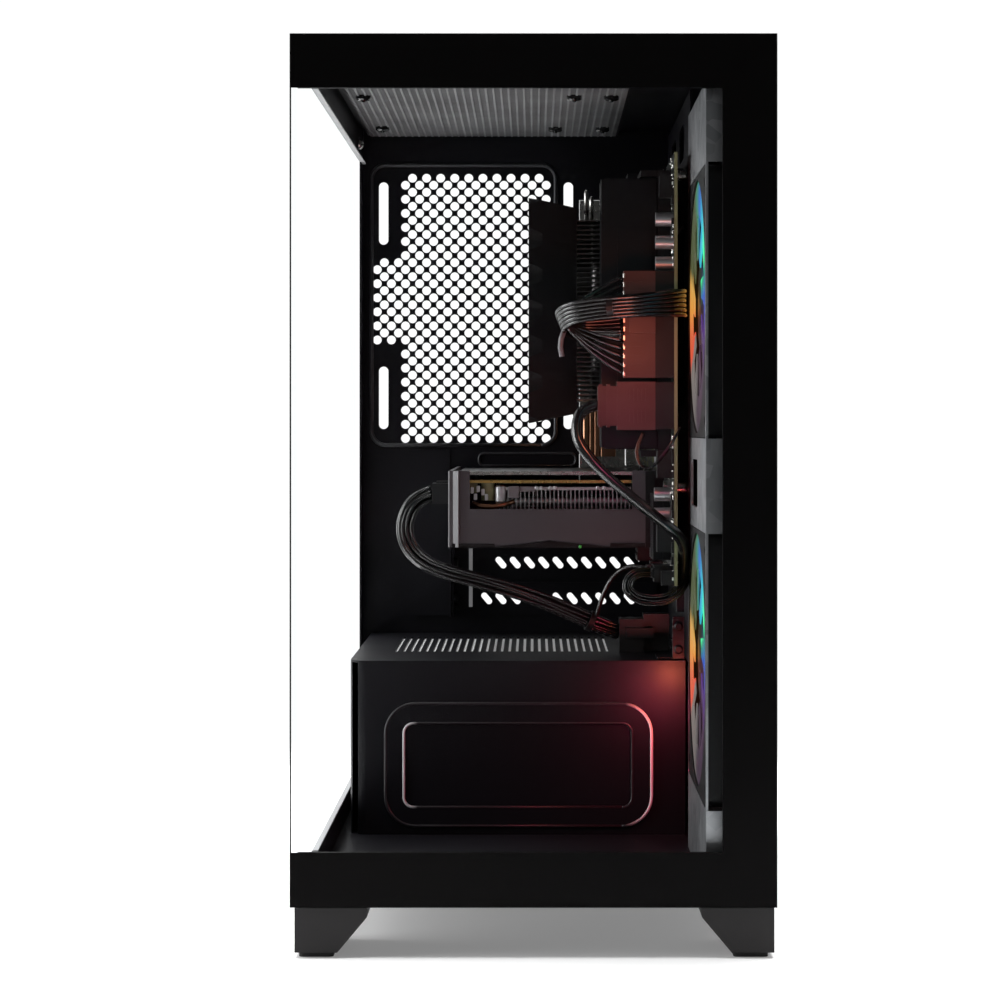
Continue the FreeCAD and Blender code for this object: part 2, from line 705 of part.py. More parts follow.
def pcie_slots():
    """One long card slot and one short one."""
    slots = []
    for z, y0, y1 in ((CARD_PCB_Z + 0.8, 34.0, 123.0), (CARD_PCB_Z + 0.8 - 2 * SLOT_PITCH, 98.0, 123.0)):
        body = on_board(z - 3.7, z + 3.7, y0, y1, 11.2)
        groove = block(BOARD_X - 12, BOARD_X - 3.5, y0 + 2, y1 - 2, z - 1.05, z + 1.05)
        slots.append(body.cut(groove))
    return group(slots)


def m2_ssd():
    board = block(63.2, 64.0, 48.0, 128.0, 207.5, 229.5)
    chips = [block(61.9, 63.2, y, y + 18, 210.5, 226.5) for y in (52.0, 74.0, 100.0)]
    socket = on_board(207.5, 229.5, 126.0, 132.0, 4.6)
    post = rod(64.0, 50.5, 218.5, "x", 2.5, BOARD_X - 64.0)
    return join([board, socket, post] + chips)


PORTS = [  # name, z low, z high, height off the board
    ("stack", 207.6, 221.6, 15.0),
    ("stack", 226.0, 241.0, 15.0),
    ("network", 246.0, 263.0, 20.0),
    ("display", 268.0, 284.0, 9.0),
    ("display", 288.0, 304.0, 9.0),
    ("stack", 309.0, 324.0, 15.0),
    ("audio", 330.0, 352.0, 12.0),
]


def port_mouths(low, high, height, kind):
    """Openings in a port's face as (x, x, z, z)."""
    near = BOARD_X - height
    if kind == "stack":
        return [(near + 1 + 6.8 * i, near + 1 + 6.8 * i + 5.4, low + 1, high - 1) for i in range(2)]
    if kind == "network":
        return [(near + 2, near + 12, low + 2.5, high - 2.5)]
    if kind == "display":
        return [(near + 1.5, near + 6.5, low + 1, high - 1)]
    return []


def rear_io_ports():
    """The metal-shelled rear ports with their tongues."""
    ports = []
    y0, y1 = 148.0, REAR_WALL - 0.4
    for kind, low, high, height in PORTS:
        body = on_board(low, high, y0, y1, height)
        for x0, x1, z0, z1 in port_mouths(low, high, height, kind):
            body = body.cut(block(x0, x1, y0 + 4, y1 + 1, z0, z1))
            if kind != "network":
                middle = (x0 + x1) / 2
                body = body.fuse(block(middle - 0.9, middle + 0.9, y0 + 3.9, y1 - 1, z0 + 1.2, z1 - 1.2))
        if kind == "audio":
            for z in (low + 4, (low + high) / 2, high - 4):
                body = body.cut(rod(BOARD_X - 6.5, y0 + 4, z, "y", 1.8, 30))
        ports.append(body)
    return group(ports)


def io_shield():
    """The sprung plate that fills the rear port opening."""
    y = REAR_WALL - 0.2
    holes = []
    for kind, low, high, height in PORTS:
        near = BOARD_X - height
        holes.append(rect("xz", y, (near - GAP, BOARD_X - 0.8), (low - GAP, high + GAP)))
    edge = rect("xz", y, (IO_X[0] + 0.2, IO_X[1] - 0.2), (IO_Z[0] + 0.2, IO_Z[1] - 0.2))
    return plate("xz", 0.6, edge, holes)


CAPACITORS = [  # y, z, radius, height
    (-52.0, 328.8, 3.35, 8.7), (-52.0, 317.7, 3.35, 8.7), (-52.0, 307.6, 3.35, 8.7),
    (-40.0, 196.3, 3.35, 8.7), (-38.0, 186.5, 3.35, 8.7),
    (118.0, 240.0, 3.2, 9.0), (118.0, 249.0, 3.2, 9.0), (118.0, 328.0, 3.2, 9.0),
    (146.0, 162.0, 2.6, 5.0), (134.0, 162.0, 2.6, 5.0), (84.0, 162.0, 2.6, 5.0), (72.0, 162.0, 2.6, 5.0),
]
COIL_ZS = grid(262.0, 12.0, 6)


def board_power_parts():
    """Capacitor cans and square coils that feed the processor."""
    pieces = [rod(BOARD_X - tall, y, z, "x", r, tall) for y, z, r, tall in CAPACITORS]
    pieces += [on_board(z - 4.5, z + 4.5, 104.0, 112.0, 7.0) for z in COIL_ZS]
    return group(pieces)


PLUG_FACE_X = 58.3


def board_headers():
    """Power, USB 3, drive, fan and front panel connectors on the board."""
    high = BOARD_X - PLUG_FACE_X
    pieces = [
        on_board(252.6, 303.7, -57.5, -48.0, high),
        on_board(228.0, 250.4, -57.5, -49.0, high),
        on_board(347.0, 358.5, 118.0, 138.0, 11.0),
        on_board(153.0, 160.0, -56.0, -50.0, 6.0),
        on_board(154.0, 162.0, -46.0, -32.0, 9.0),
        on_board(154.0, 159.0, -22.0, -6.0, 6.5),
        on_board(339.0, 349.5, -55.5, -49.5, 7.0),
        on_board(154.0, 159.0, 20.0, 32.0, 6.5),
        on_board(154.0, 159.0, 46.0, 60.0, 6.5),
    ]
    pieces += [on_board(z, z + 13.0, -56.0, -44.0, 8.0) for z in (169.0, 204.5)]
    return group(pieces)


def cmos_battery():
    holder = on_board(207.5, 229.5, 10.0, 32.0, 2.2)
    cell = rod(BOARD_X - 5.4, 21.0, 218.5, "x", 10.0, 3.3)
    return join([holder, cell])


# ---- processor cooler ----
COOLER_FRONT_X = -2.5
COOLER_FAN_HALF = 57.0
COOLER_TAPER = 5.0
COOLER_FRAME_BACK = 22.0
COOLER_TIP = 50.4


def cooler_heatsink():
    """A stack of level fins on heat pipes over a copper base."""
    lid_x = BOARD_X - 5.6
    fins = []
    for z in grid(CPU_Z - 45.0, 2.4, 39):
        fins.append(block(COOLER_FRAME_BACK + 0.4, 44.0, CPU_Y - 44.0, CPU_Y + 46.0, z - 0.25, z + 0.25))
    base = block(lid_x - 9.0, lid_x, CPU_Y - 19.0, CPU_Y + 19.0, CPU_Z - 19.0, CPU_Z + 19.0)
    neck = block(43.0, lid_x - 9.0, CPU_Y - 14.0, CPU_Y + 14.0, CPU_Z - 15.0, CPU_Z + 15.0)
    pipes = [rod(33.0, y, CPU_Z - 46.0, "z", 3.0, 92.5) for y in grid(CPU_Y - 27.0, 18.0, 4)]
    core = block(38.0, 44.0, CPU_Y - 14.0, CPU_Y + 14.0, CPU_Z - 45.5, CPU_Z + 46.5)
    return join([core, base, neck] + pipes + fins)


def cooler_fan_frame():
    """A square fan frame that narrows towards the fins, its front edge cut in shallow waves."""
    half = COOLER_FAN_HALF
    depth = COOLER_FRAME_BACK - COOLER_FRONT_X
    frame = fan_frame(2 * half, depth, COOLER_TIP + 0.6, 98.0, 17.0)
    taper = Part.Face(polygon("yz", -half - 1, [
        (half, 0), (half - COOLER_TAPER, depth), (half + 3, depth + 1), (half + 3, 0),
    ])).extrude(V(2 * half + 2, 0, 0))
    cuts = []
    for side in range(4):
        slope = taper.copy()
        slope.rotate(V(0, 0, 0), V(0, 0, 1), 90 * side)
        cuts.append(slope)
        for along in grid(-36.0, 18.0, 5):
            wave = Part.makeCylinder(10.0, 8.0, V(along, half + 8.2, -1))
            wave.rotate(V(0, 0, 0), V(0, 0, 1), 90 * side)
            cuts.append(wave)
    for cut in cuts:
        frame = frame.cut(cut)
    return turned(frame, V(0, 1, 0), 90, COOLER_FRONT_X, CPU_Y, CPU_Z)


def cooler_rotor():
    wheel = rotor(COOLER_TIP, 18.5, 18.0, 7, 20, 42)
    return turned(wheel, V(0, 1, 0), 90, COOLER_FRONT_X + 2.0, CPU_Y, CPU_Z)


# ---- graphics card ----
CARD_BACK = REAR_WALL - 2.4
CARD_FAN = (6.0, 96.0)
CARD_FAN_BORE = 46.0


def gpu_pcb():
    """The card's circuit board with its edge connector tongue."""
    board = block(-38.0, 55.8, CARD_FRONT + 6, CARD_BACK, CARD_PCB_Z, CARD_PCB_Z + 1.6)
    tongue = block(55.8, 62.6, 37.0, 120.0, CARD_PCB_Z, CARD_PCB_Z + 1.6)
    chip = block(-6.0, 20.0, 80.0, 106.0, CARD_PCB_Z - 2.0, CARD_PCB_Z)
    can = rod(-23.5, CARD_FRONT + 11, CARD_PCB_Z - 9.0, "z", 3.5, 9.0)
    choke = block(-34.0, -29.0, CARD_FRONT + 9, CARD_FRONT + 15, CARD_PCB_Z - 5.0, CARD_PCB_Z)
    return join([board, tongue, chip, can, choke])


def gpu_heatsink():
    """Upright fins hanging from a base plate, crossed by a heat pipe."""
    top = CARD_PCB_Z - 2.1
    base = block(-18.0, 50.0, CARD_FRONT + 6, 150.0, top - 1.5, top)
    fins = []
    for x in grid(-17.6, 2.15, 32):
        fins.append(block(x, x + 0.5, CARD_FRONT + 6, 150.0, top - 13.0, top - 1.5))
    pipe = rod(-19.5, CARD_FRONT + 12, top - 7.5, "x", 2.5, 71.0)
    return join([base, pipe] + fins)


def gpu_shroud():
    """The card's cover: a shell open at the top with a fan hole, an end window and a notched lip."""
    x0, x1 = CARD_LEFT, CARD_RIGHT
    y0, y1 = CARD_FRONT, CARD_BACK - 0.5
    z0, z1 = CARD_LOW, 206.7
    wall = 1.8
    outside = block(x0, x1, y0, y1, z0, z1)
    inside = block(x0 + wall, x1 - wall, y0 + wall, y1 + 1, z0 + wall, z1 + 1)
    window = block(-32.6, 50.5, y0 - 1, y0 + wall + 1, 187.0, z1 + 1)
    bore = rod(CARD_FAN[0], CARD_FAN[1], z0 - 1, "z", CARD_FAN_BORE, wall + 2)
    side_notch = block(x1 - wall - 1, x1 + 1, 30.0, y1 - 6, 194.5, z1 + 1)
    plug_notch = block(x0 - 1, x0 + wall + 1, 39.6, 58.4, 188.6, 200.4)
    lip = plate("xz", wall + 0.4, polygon("xz", y0 - 0.2, [
        (x0 + 6, z0 - 0.1), (-20, z0 - 0.1), (8, z0 + 3.6), (34, z0 - 0.1), (x1 - 6, z0 - 0.1), (8, z0 - 6),
    ]))
    shell = outside.cut(group([inside, window, bore, side_notch, plug_notch]))
    fan_seat = rod(CARD_FAN[0], CARD_FAN[1], z0 + 13.6, "z", 15.0, 1.6)
    arms = [block(CARD_FAN[0] - 2, CARD_FAN[0] + 2, y0 + wall - 0.2, y1, z0 + 14.0, z0 + 15.2)]
    return join([shell.cut(lip), fan_seat] + arms)


def gpu_backplate():
    plate_top = block(-38.5, 55.5, CARD_FRONT + 3, CARD_BACK - 1, 204.6, 206.0)
    posts = [rod(x, y, CARD_PCB_Z + 1.6, "z", 2.2, 204.6 - CARD_PCB_Z - 1.6)
             for x in (-30.0, 40.0) for y in (CARD_FRONT + 14, 140.0)]
    return join([plate_top] + posts)


def gpu_bracket():
    """The card's two-slot bracket with vents, display openings and a screw tab."""
    y = REAR_WALL - 1.2
    low = SLOT_TOP_Z - SLOT_PITCH - 9.2
    high = SLOT_TOP_Z + 9.2
    vents = [slot("xz", y, x, SLOT_TOP_Z - SLOT_PITCH, 8.0, 3.2, 90) for x in grid(-24.0, 6.0, 14)]
    for x in (-20.0, 2.0, 24.0):
        vents.append(rounded("xz", y, x, x + 16.0, SLOT_TOP_Z - 5.5, SLOT_TOP_Z - 0.5, 1))
    edge = polygon("xz", y, [(-45, low), (70, low), (70, high), (-45, high)])
    face = plate("xz", 0.9, edge, vents)
    tab = block(-46.3, -45, y - 11, y + 0.9, low, high)
    screw = rod(-45.0, y - 6, SLOT_TOP_Z, "x", 3.2, 1.6)
    return join([face, tab, screw])


def gpu_rotor():
    wheel = rotor(44.6, 15.0, 11.0, 11, 18, 34)
    return turned(wheel, V(1, 0, 0), 0, CARD_FAN[0], CARD_FAN[1], CARD_LOW + 1.6)


# ---- power supply ----
INLET = (48.0, 82.0)
SWITCH = (48.0, 52.0)


def psu_case():
    """The supply's steel box with a vented rear, a fan opening below and a wire guard in it."""
    x0, x1 = PSU_X
    y0, y1 = PSU_Y
    z0, z1 = PSU_Z
    wall = 1.0
    outside = block(x0, x1, y0, y1, z0, z1)
    inside = block(x0 + wall, x1 - wall, y0 + wall, y1 - wall, z0 + wall, z1 - wall)
    cx, cy = PSU_MIDDLE
    cuts = [inside, rod(cx, cy, z0 - 1, "z", 58.0, wall + 2)]
    for i, z in enumerate(grid(z0 + 12, 7.0, 10)):
        for x in grid(x0 + 10 + (i % 2) * 4.0, 8.0, 12):
            cuts.append(rod(x, y1 - 2, z, "y", 2.9, 4))
    cuts.append(block(INLET[0] - 14.2, INLET[0] + 14.2, y1 - 2, y1 + 1, INLET[1] - 10.6, INLET[1] + 10.6))
    cuts.append(block(SWITCH[0] - 11.2, SWITCH[0] + 11.2, y1 - 2, y1 + 1, SWITCH[1] - 7.4, SWITCH[1] + 7.4))
    cuts.append(block(x1 - 40, x1 - 10, y0 - 1, y0 + 2, z0 + 40, z0 + 62))
    shell = outside.cut(cuts)
    guard = []
    for radius in (14.0, 25.0, 36.0, 47.0):
        wire = Part.makeCylinder(radius + 0.8, 1.6, V(cx, cy, z0))
        guard.append(wire.cut(Part.makeCylinder(radius - 0.8, 1.6, V(cx, cy, z0))))
    for turn in (45, 135):
        bar = block(cx - 58.5, cx + 58.5, cy - 0.8, cy + 0.8, z0, z0 + 1.6)
        bar.rotate(V(cx, cy, 0), V(0, 0, 1), turn)
        guard.append(bar)
    seat = Part.makeCylinder(19.0, 1.5, V(cx, cy, z0 + 19.2))
    arm = block(x0 + 0.5, x1 - 0.5, cy - 3, cy + 3, z0 + 19.2, z0 + 20.7)
    return join([shell, seat, arm] + guard)


def psu_rotor():
    wheel = rotor(55.0, 20.0, 15.0, 9, 16, 38)
    return turned(wheel, V(1, 0, 0), 0, PSU_MIDDLE[0], PSU_MIDDLE[1], PSU_Z[0] + 3.0)


def psu_inlet():
    """A three-pin mains inlet: a rounded body with its recess and pins."""
    y1 = PSU_Y[1]
    body = block(INLET[0] - 14.0, INLET[0] + 14.0, y1 - 20.0, y1 + 1.2, INLET[1] - 10.4, INLET[1] + 10.4)
    recess = block(INLET[0] - 12.0, INLET[0] + 12.0, y1 - 15.8, y1 + 2, INLET[1] - 8.2, INLET[1] + 8.2)
    body = body.cut(recess)
    pins = []
    for x, z in ((-7.0, -2.0), (7.0, -2.0), (0.0, 2.0)):
        u, v = INLET[0] + x, INLET[1] + z
        pins.append(block(u - 1, u + 1, y1 - 16.5, y1 - 1.5, v - 2, v + 2))
    return join([body] + pins)


def psu_switch():
    """A rocker that tips about an axis along Z through its middle."""
    y1 = PSU_Y[1]
    half_x, half_z = 9.8, 6.8
    outline = Part.makePolygon([V(SWITCH[0] - half_x, y1 - 6, 0), V(SWITCH[0] + half_x, y1 - 6, 0),
                                V(SWITCH[0] + half_x, y1 + 3.2, 0), V(SWITCH[0], y1 + 1.2, 0),
                                V(SWITCH[0] - half_x, y1 + 0.2, 0), V(SWITCH[0] - half_x, y1 - 6, 0)])
    rocker = Part.Face(Part.Wire(outline)).extrude(V(0, 0, 2 * half_z))
    rocker.translate(V(0, 0, SWITCH[1] - half_z))
    return rocker


# ---- harness ----
ATX_ROUTE = [
    (70.6, -60.0, 288.0), (69.6, -69.0, 288.0), (60.0, -74.0, 287.0), (44.0, -75.5, 286.0),
    (29.0, -74.0, 285.0), (17.5, -69.0, 283.0), (14.5, -59.5, 279.5), (21.0, -53.0, 276.5),
    (31.0, -52.0, 276.8), (43.2, -52.75, 278.0),
]
ATX_RADIUS = 4.2
USB_ROUTE = [
    (30.8, -53.5, 239.5), (23.5, -55.5, 238.0), (20.5, -59.5, 231.0), (20.8, -63.0, 222.5),
    (27.0, -65.5, 213.5), (36.5, -66.5, 204.0), (48.5, -67.5, 194.0), (60.0, -68.2, 184.8),
    (70.4, -65.6, 176.5), (72.4, -57.0, 168.5), (72.2, -47.0, 160.5), (72.3, -38.5, 151.5),
]
USB_RADIUS = 2.7
CARD_POWER_ROUTE = [
    (-52.5, 49.0, 194.5), (-60.5, 49.0, 192.0), (-66.0, 48.0, 184.0), (-67.5, 47.0, 174.5),
    (-64.0, 46.0, 165.0), (-55.0, 45.0, 157.5), (-42.0, 44.0, 152.8), (-26.5, 43.5, 149.0),
    (-9.0, 43.5, 143.8), (8.5, 44.0, 137.5), (24.0, 45.0, 130.8), (35.5, 46.5, 125.5), (44.5, 48.5, 122.5),
]
CARD_POWER_RADIUS = 4.2
PANEL_ROUTE = [
    (69.9, -62.5, 228.5), (66.5, -66.0, 222.5), (61.5, -66.5, 215.5), (56.5, -66.0, 209.5),
    (51.8, -64.8, 209.2), (49.0, -62.6, 214.0), (49.6, -60.2, 220.5), (52.6, -58.8, 226.0),
]
PANEL_RADIUS = 1.1
FAN_ROUTE = [
    (60.8, 26.0, 156.5), (55.8, 28.0, 157.6), (50.0, 31.0, 157.6), (44.6, 34.0, 155.4),
    (40.4, 36.2, 151.0), (37.4, 38.0, 145.6), (35.2, 39.8, 140.0), (33.6, 41.4, 134.6), (32.8, 42.4, 131.0),
]
FAN_LEAD_RADIUS = 1.2


def atx_plug():
    """The 24-way plug with its latch."""
    body = block(43.2, PLUG_FACE_X, -57.5, -48.0, 252.6, 303.7)
    latch = block(46.0, PLUG_FACE_X, -59.0, -57.5, 274.0, 283.0)
    ribs = [block(43.2, 52.0, -57.9, -57.5, z, z + 1.2) for z in grid(255.0, 4.2, 4) + grid(286.0, 4.2, 4)]
    return join([body, latch] + ribs)


def usb3_plug():
    """The ribbed USB 3 plug and its boot."""
    body = block(40.0, PLUG_FACE_X, -57.6, -48.8, 227.6, 250.7)
    neck = block(30.8, 40.0, -57.2, -49.4, 229.6, 248.6)
    ribs = [block(x, x + 1.6, -57.6, -49.0, 228.8, 249.4) for x in (31.4, 35.0)]
    grips = [block(x, x + 0.8, -58.1, -57.6, z, z + 6.0) for x in grid(46.0, 1.9, 5) for z in (231.0, 241.5)]
    return join([body, neck] + ribs + grips)


def gpu_plug():
    """The graphics power plug, half inside the card's side."""
    body = block(-52.5, -38.5, 40.2, 57.8, 189.2, 199.8)
    latch = block(-50.5, -44.0, 46.0, 52.0, 199.8, 200.9)
    return join([body, latch])


def inline_plug():
    """Two joined plugs resting on the shroud."""
    first = block(44.5, 57.0, 40.0, 57.0, SHROUD_TOP + 0.2, SHROUD_TOP + 17.5)
    second = block(57.0, 70.3, 42.0, 55.0, SHROUD_TOP + 1.2, SHROUD_TOP + 20.0)
    latch = block(48.0, 62.0, 38.6, 40.0, SHROUD_TOP + 8.0, SHROUD_TOP + 13.0)
    latch_post = block(48.0, 50.0, 38.6, 40.2, SHROUD_TOP + 8.0, SHROUD_TOP + 13.0)
    return join([first, second, latch, latch_post])


def cable_ties():
    """A tie round the graphics power lead and one round the board lead."""
    ties = []
    for centre, direction, r in ((V(29.8, 45.75, 128.15), V(11.5, 1.5, -5.3), CARD_POWER_RADIUS),
                                 (V(36.0, -74.9, 285.5), V(-15, 1.5, -1), ATX_RADIUS)):
        direction.normalize()
        start = centre - direction * 1.5
        outer = Part.makeCylinder(r + 1.2, 3.0, start, direction)
        inner = Part.makeCylinder(r + 0.02, 3.0, start, direction)
        ties.append(outer.cut(inner))
    return group(ties)


PIECES = [
    front_glass, front_frame, side_glass, glass_studs, top_panel, top_filter, base_pan, psu_filter,
    rear_panel, slot_covers, motherboard_tray, psu_shroud, right_side_panel, panel_thumbscrews,
    side_fan_bracket, feet, foot_pads, front_ports, motherboard_pcb, board_standoffs, cpu_socket,
    board_heatsinks, dimm_slots, ram_modules, pcie_slots, m2_ssd, rear_io_ports, io_shield,
    board_power_parts, board_headers, cmos_battery, cooler_heatsink, cooler_fan_frame, cooler_rotor,
    gpu_pcb, gpu_heatsink, gpu_shroud, gpu_backplate, gpu_bracket, gpu_rotor, psu_case, psu_rotor,
    psu_inlet, psu_switch, atx_plug, usb3_plug, gpu_plug, inline_plug, cable_ties,
]
for piece in PIECES:
    save(piece.__name__, piece())
save("power_button", button(POWER_Y, POWER_RADIUS, 6.0))
save("reset_button", button(RESET_Y, RESET_RADIUS, 5.0))
side_fans()
LEADS = {
    "atx_cable": (ATX_ROUTE, ATX_RADIUS),
    "usb3_cable": (USB_ROUTE, USB_RADIUS),
    "gpu_power_cable": (CARD_POWER_ROUTE, CARD_POWER_RADIUS),
    "front_panel_wires": (PANEL_ROUTE, PANEL_RADIUS),
    "fan_cable": (FAN_ROUTE, FAN_LEAD_RADIUS),
}
for name, (route, radius) in LEADS.items():
    save(name, lead(route, radius))
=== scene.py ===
# %% [markdown]
# # A desktop computer tower
# The tower is a black steel case with glass at its front and left side. Its metalwork, boards,
# fans and plugs come in as a fixed frame with every part in place. This lesson gives them their
# finishes, and models what a frame of plain solids leaves out: the wires, the fans' rings of light
# with their vanes, the small parts on the circuit boards, the pressed edges and the glass print.

# %% Load the frame
import bpy
import math
import random
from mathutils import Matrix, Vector


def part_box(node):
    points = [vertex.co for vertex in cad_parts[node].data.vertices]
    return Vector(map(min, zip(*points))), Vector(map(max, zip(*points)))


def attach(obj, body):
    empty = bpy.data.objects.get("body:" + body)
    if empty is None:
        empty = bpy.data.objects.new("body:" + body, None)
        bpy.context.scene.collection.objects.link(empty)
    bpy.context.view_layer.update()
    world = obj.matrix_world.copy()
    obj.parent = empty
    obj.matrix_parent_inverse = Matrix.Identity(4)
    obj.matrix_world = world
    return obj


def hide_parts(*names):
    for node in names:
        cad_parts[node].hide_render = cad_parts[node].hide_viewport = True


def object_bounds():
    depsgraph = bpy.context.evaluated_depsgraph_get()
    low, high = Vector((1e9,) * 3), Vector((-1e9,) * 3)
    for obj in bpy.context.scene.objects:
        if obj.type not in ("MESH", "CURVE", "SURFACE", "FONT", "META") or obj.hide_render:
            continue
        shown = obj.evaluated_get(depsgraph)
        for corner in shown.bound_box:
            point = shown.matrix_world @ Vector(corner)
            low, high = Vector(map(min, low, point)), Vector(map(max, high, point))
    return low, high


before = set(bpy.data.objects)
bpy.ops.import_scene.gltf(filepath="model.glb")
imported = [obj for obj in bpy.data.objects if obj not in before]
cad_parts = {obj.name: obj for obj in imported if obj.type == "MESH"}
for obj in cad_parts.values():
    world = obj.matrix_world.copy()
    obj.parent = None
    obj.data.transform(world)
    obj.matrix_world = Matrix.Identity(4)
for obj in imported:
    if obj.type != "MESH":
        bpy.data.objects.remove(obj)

MM = 0.001
cad_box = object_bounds()
low, high = cad_box
print("case box in mm", [round((b - a) / MM, 1) for a, b in zip(low, high)])

# %% [markdown]
# ## The camera
# A product view straight at the front keeps every vertical line upright. The camera stands about
# a metre in front of the glass, a little over half the case's height, with a long lens. The small
# lens shift keeps the case low in the picture without tilting the camera.

# %% Camera
STAND_OFF = 1.0735
EYE_HEIGHT = 0.229
camera_data = bpy.data.cameras.new("camera")
camera_data.lens = 90.0
camera_data.sensor_width = 36.0
camera_data.shift_x = -0.0335
camera_data.shift_y = -0.073
camera = bpy.data.objects.new("camera", camera_data)
camera.location = (0.0, low[1] - STAND_OFF, EYE_HEIGHT)
camera.rotation_euler = (math.radians(90), 0.0, 0.0)
bpy.context.scene.collection.objects.link(camera)
bpy.context.scene.camera = camera
bpy.context.scene.view_settings.view_transform = "Standard"
print("camera at", tuple(round(x, 3) for x in camera.location))

# %% [markdown]
# ## Shader maths as expressions
# A finish is a small sum: a base value plus some grain, or a colour mixed by a mask. Wrapping a
# socket in a class with its own + and * lets the sum be written as one line of Python, and the
# class adds the maths nodes. Colours are mixed instead, because a maths node turns them grey.


# %% Sockets that can be added and multiplied
class Flow:
    """One output socket of a finish's node tree, for use in sums."""

    def __init__(self, finish, node, socket):
        self.finish = finish
        self.node = node
        self.socket = socket

    def out(self, name):
        return Flow(self.finish, self.node, self.node.outputs[name])

    def sum(self, operation, other, flipped=False):
        pair = (other, self) if flipped else (self, other)
        return self.finish.node("ShaderNodeMath", {"operation": operation}, {0: pair[0], 1: pair[1]})

    def __add__(self, other):
        return self.sum("ADD", other)

    def __radd__(self, other):
        return self.sum("ADD", other, True)

    def __sub__(self, other):
        return self.sum("SUBTRACT", other)

    def __rsub__(self, other):
        return self.sum("SUBTRACT", other, True)

    def __mul__(self, other):
        return self.sum("MULTIPLY", other)

    def __rmul__(self, other):
        return self.sum("MULTIPLY", other, True)

    def __gt__(self, other):
        return self.sum("GREATER_THAN", other)

    def __lt__(self, other):
        return self.sum("LESS_THAN", other)


class Finish:
    """A material: one Principled shader and the nodes that drive it."""

    def __init__(self, name, color, roughness, **sockets):
        self.material = bpy.data.materials.new(name)
        self.material.use_nodes = True
        self.tree = self.material.node_tree
        self.tree.nodes.clear()
        self.output = self.tree.nodes.new("ShaderNodeOutputMaterial")
        self.shader = self.tree.nodes.new("ShaderNodeBsdfPrincipled")
        self.tree.links.new(self.shader.outputs[0], self.output.inputs[0])
        self.set("Base Color", color)
        self.set("Roughness", roughness)
        for socket, value in sockets.items():
            self.set(socket.replace("_", " "), value)

    def plug(self, socket, value):
        """Links a flow to a socket, or writes a plain value on it."""
        if isinstance(value, Flow):
            self.tree.links.new(value.socket, socket)
        elif isinstance(value, tuple) and len(value) == 3 and socket.type == "RGBA":
            socket.default_value = (*value, 1.0)
        else:
            socket.default_value = value

    def set(self, name, value):
        self.plug(self.shader.inputs[name], value)

    def node(self, kind, settings=None, sockets=None):
        """Any node: its type, its settings first, then the values or links of its sockets."""
        made = self.tree.nodes.new(kind)
        for name, value in (settings or {}).items():
            if name == "stops":
                ramp = made.color_ramp
                for i, (place, color) in enumerate(value):
                    stop = ramp.elements[i] if i < len(ramp.elements) else ramp.elements.new(place)
                    stop.position = place
                    stop.color = (*color, 1.0)
            else:
                setattr(made, name, value)
        for name, value in (sockets or {}).items():
            self.plug(made.inputs[name], value)
        return Flow(self, made, made.outputs[0])

    def place(self):
        """Where a point lies in the case, in metres, the same from every side."""
        return self.node("ShaderNodeTexCoord").out("Object")

    def split(self, vector):
        apart = self.node("ShaderNodeSeparateXYZ", sockets={0: vector})
        return [apart.out(axis) for axis in "XYZ"]

    def noise(self, scale, detail=2.0, stretch=None):
        where = self.place()
        if stretch:
            where = self.node("ShaderNodeVectorMath", {"operation": "MULTIPLY"}, {0: where, 1: stretch})
        return self.node("ShaderNodeTexNoise", None, {"Vector": where, "Scale": scale, "Detail": detail})

    def ramp(self, factor, stops):
        return self.node("ShaderNodeValToRGB", {"stops": stops}, {0: factor})

    def mix(self, factor, first, second):
        """A colour between two colours."""
        mixed = self.node("ShaderNodeMix", {"data_type": "RGBA"})
        for index, value in ((0, factor), (6, first), (7, second)):
            self.plug(mixed.node.inputs[index], value)
        return Flow(self, mixed.node, mixed.node.outputs[2])

    def bump(self, height, depth, strength=1.0):
        relief = self.node("ShaderNodeBump", None,
                           {"Height": height, "Distance": depth, "Strength": strength})
        self.set("Normal", relief)


# %% [markdown]
# ## The black finishes
# Nearly everything here is black, and what tells the pieces apart is how they shine. Powder-coated
# steel has a fine orange-peel grain and a soft sheen. Moulded plastic is duller, with a spark-eroded
# texture. The border print sits under polished glass, and wire insulation is smooth and glossy.

# %% Black steel, plastics, rubber and insulation
powder = Finish("powder_coat", (0.0060, 0.0058, 0.0080), 0.4, Specular_IOR_Level=0.2)
grain = powder.noise(1500.0, 3.0)
clouds = powder.noise(14.0, 3.0)
powder.set("Roughness", 0.36 + clouds * 0.14)
powder.bump(grain, 0.00009, 0.55)

moulded = Finish("moulded_black", (0.009, 0.009, 0.010), 0.5, Specular_IOR_Level=0.35)
moulded.set("Roughness", 0.42 + moulded.noise(30.0, 2.0) * 0.16)
moulded.bump(moulded.noise(2400.0, 2.0), 0.00005, 0.5)

charcoal = Finish("foot_plastic", (0.013, 0.012, 0.0125), 0.6, Specular_IOR_Level=0.3)
charcoal.set("Base Color", charcoal.mix(charcoal.noise(60.0, 3.0),
                                        (0.011, 0.010, 0.0105), (0.017, 0.0155, 0.016)))
charcoal.set("Roughness", 0.5 + charcoal.noise(24.0) * 0.2)
charcoal.bump(charcoal.noise(1800.0, 2.0), 0.00008, 0.5)

rubber = Finish("pad_rubber", (0.014, 0.014, 0.014), 0.85)
rubber.bump(rubber.noise(900.0, 3.0), 0.0001, 0.6)

border = Finish("border_print", (0.0020, 0.0016, 0.0017), 0.5, Specular_IOR_Level=0.06)
border.set("Roughness", 0.45 + border.noise(9.0) * 0.1)

insulation = Finish("wire_insulation", (0.007, 0.007, 0.0075), 0.16, Specular_IOR_Level=0.9)
insulation.set("Roughness", 0.13 + insulation.noise(160.0, 2.0) * 0.12)
insulation.bump(insulation.noise(300.0, 1.0), 0.00003, 0.2)

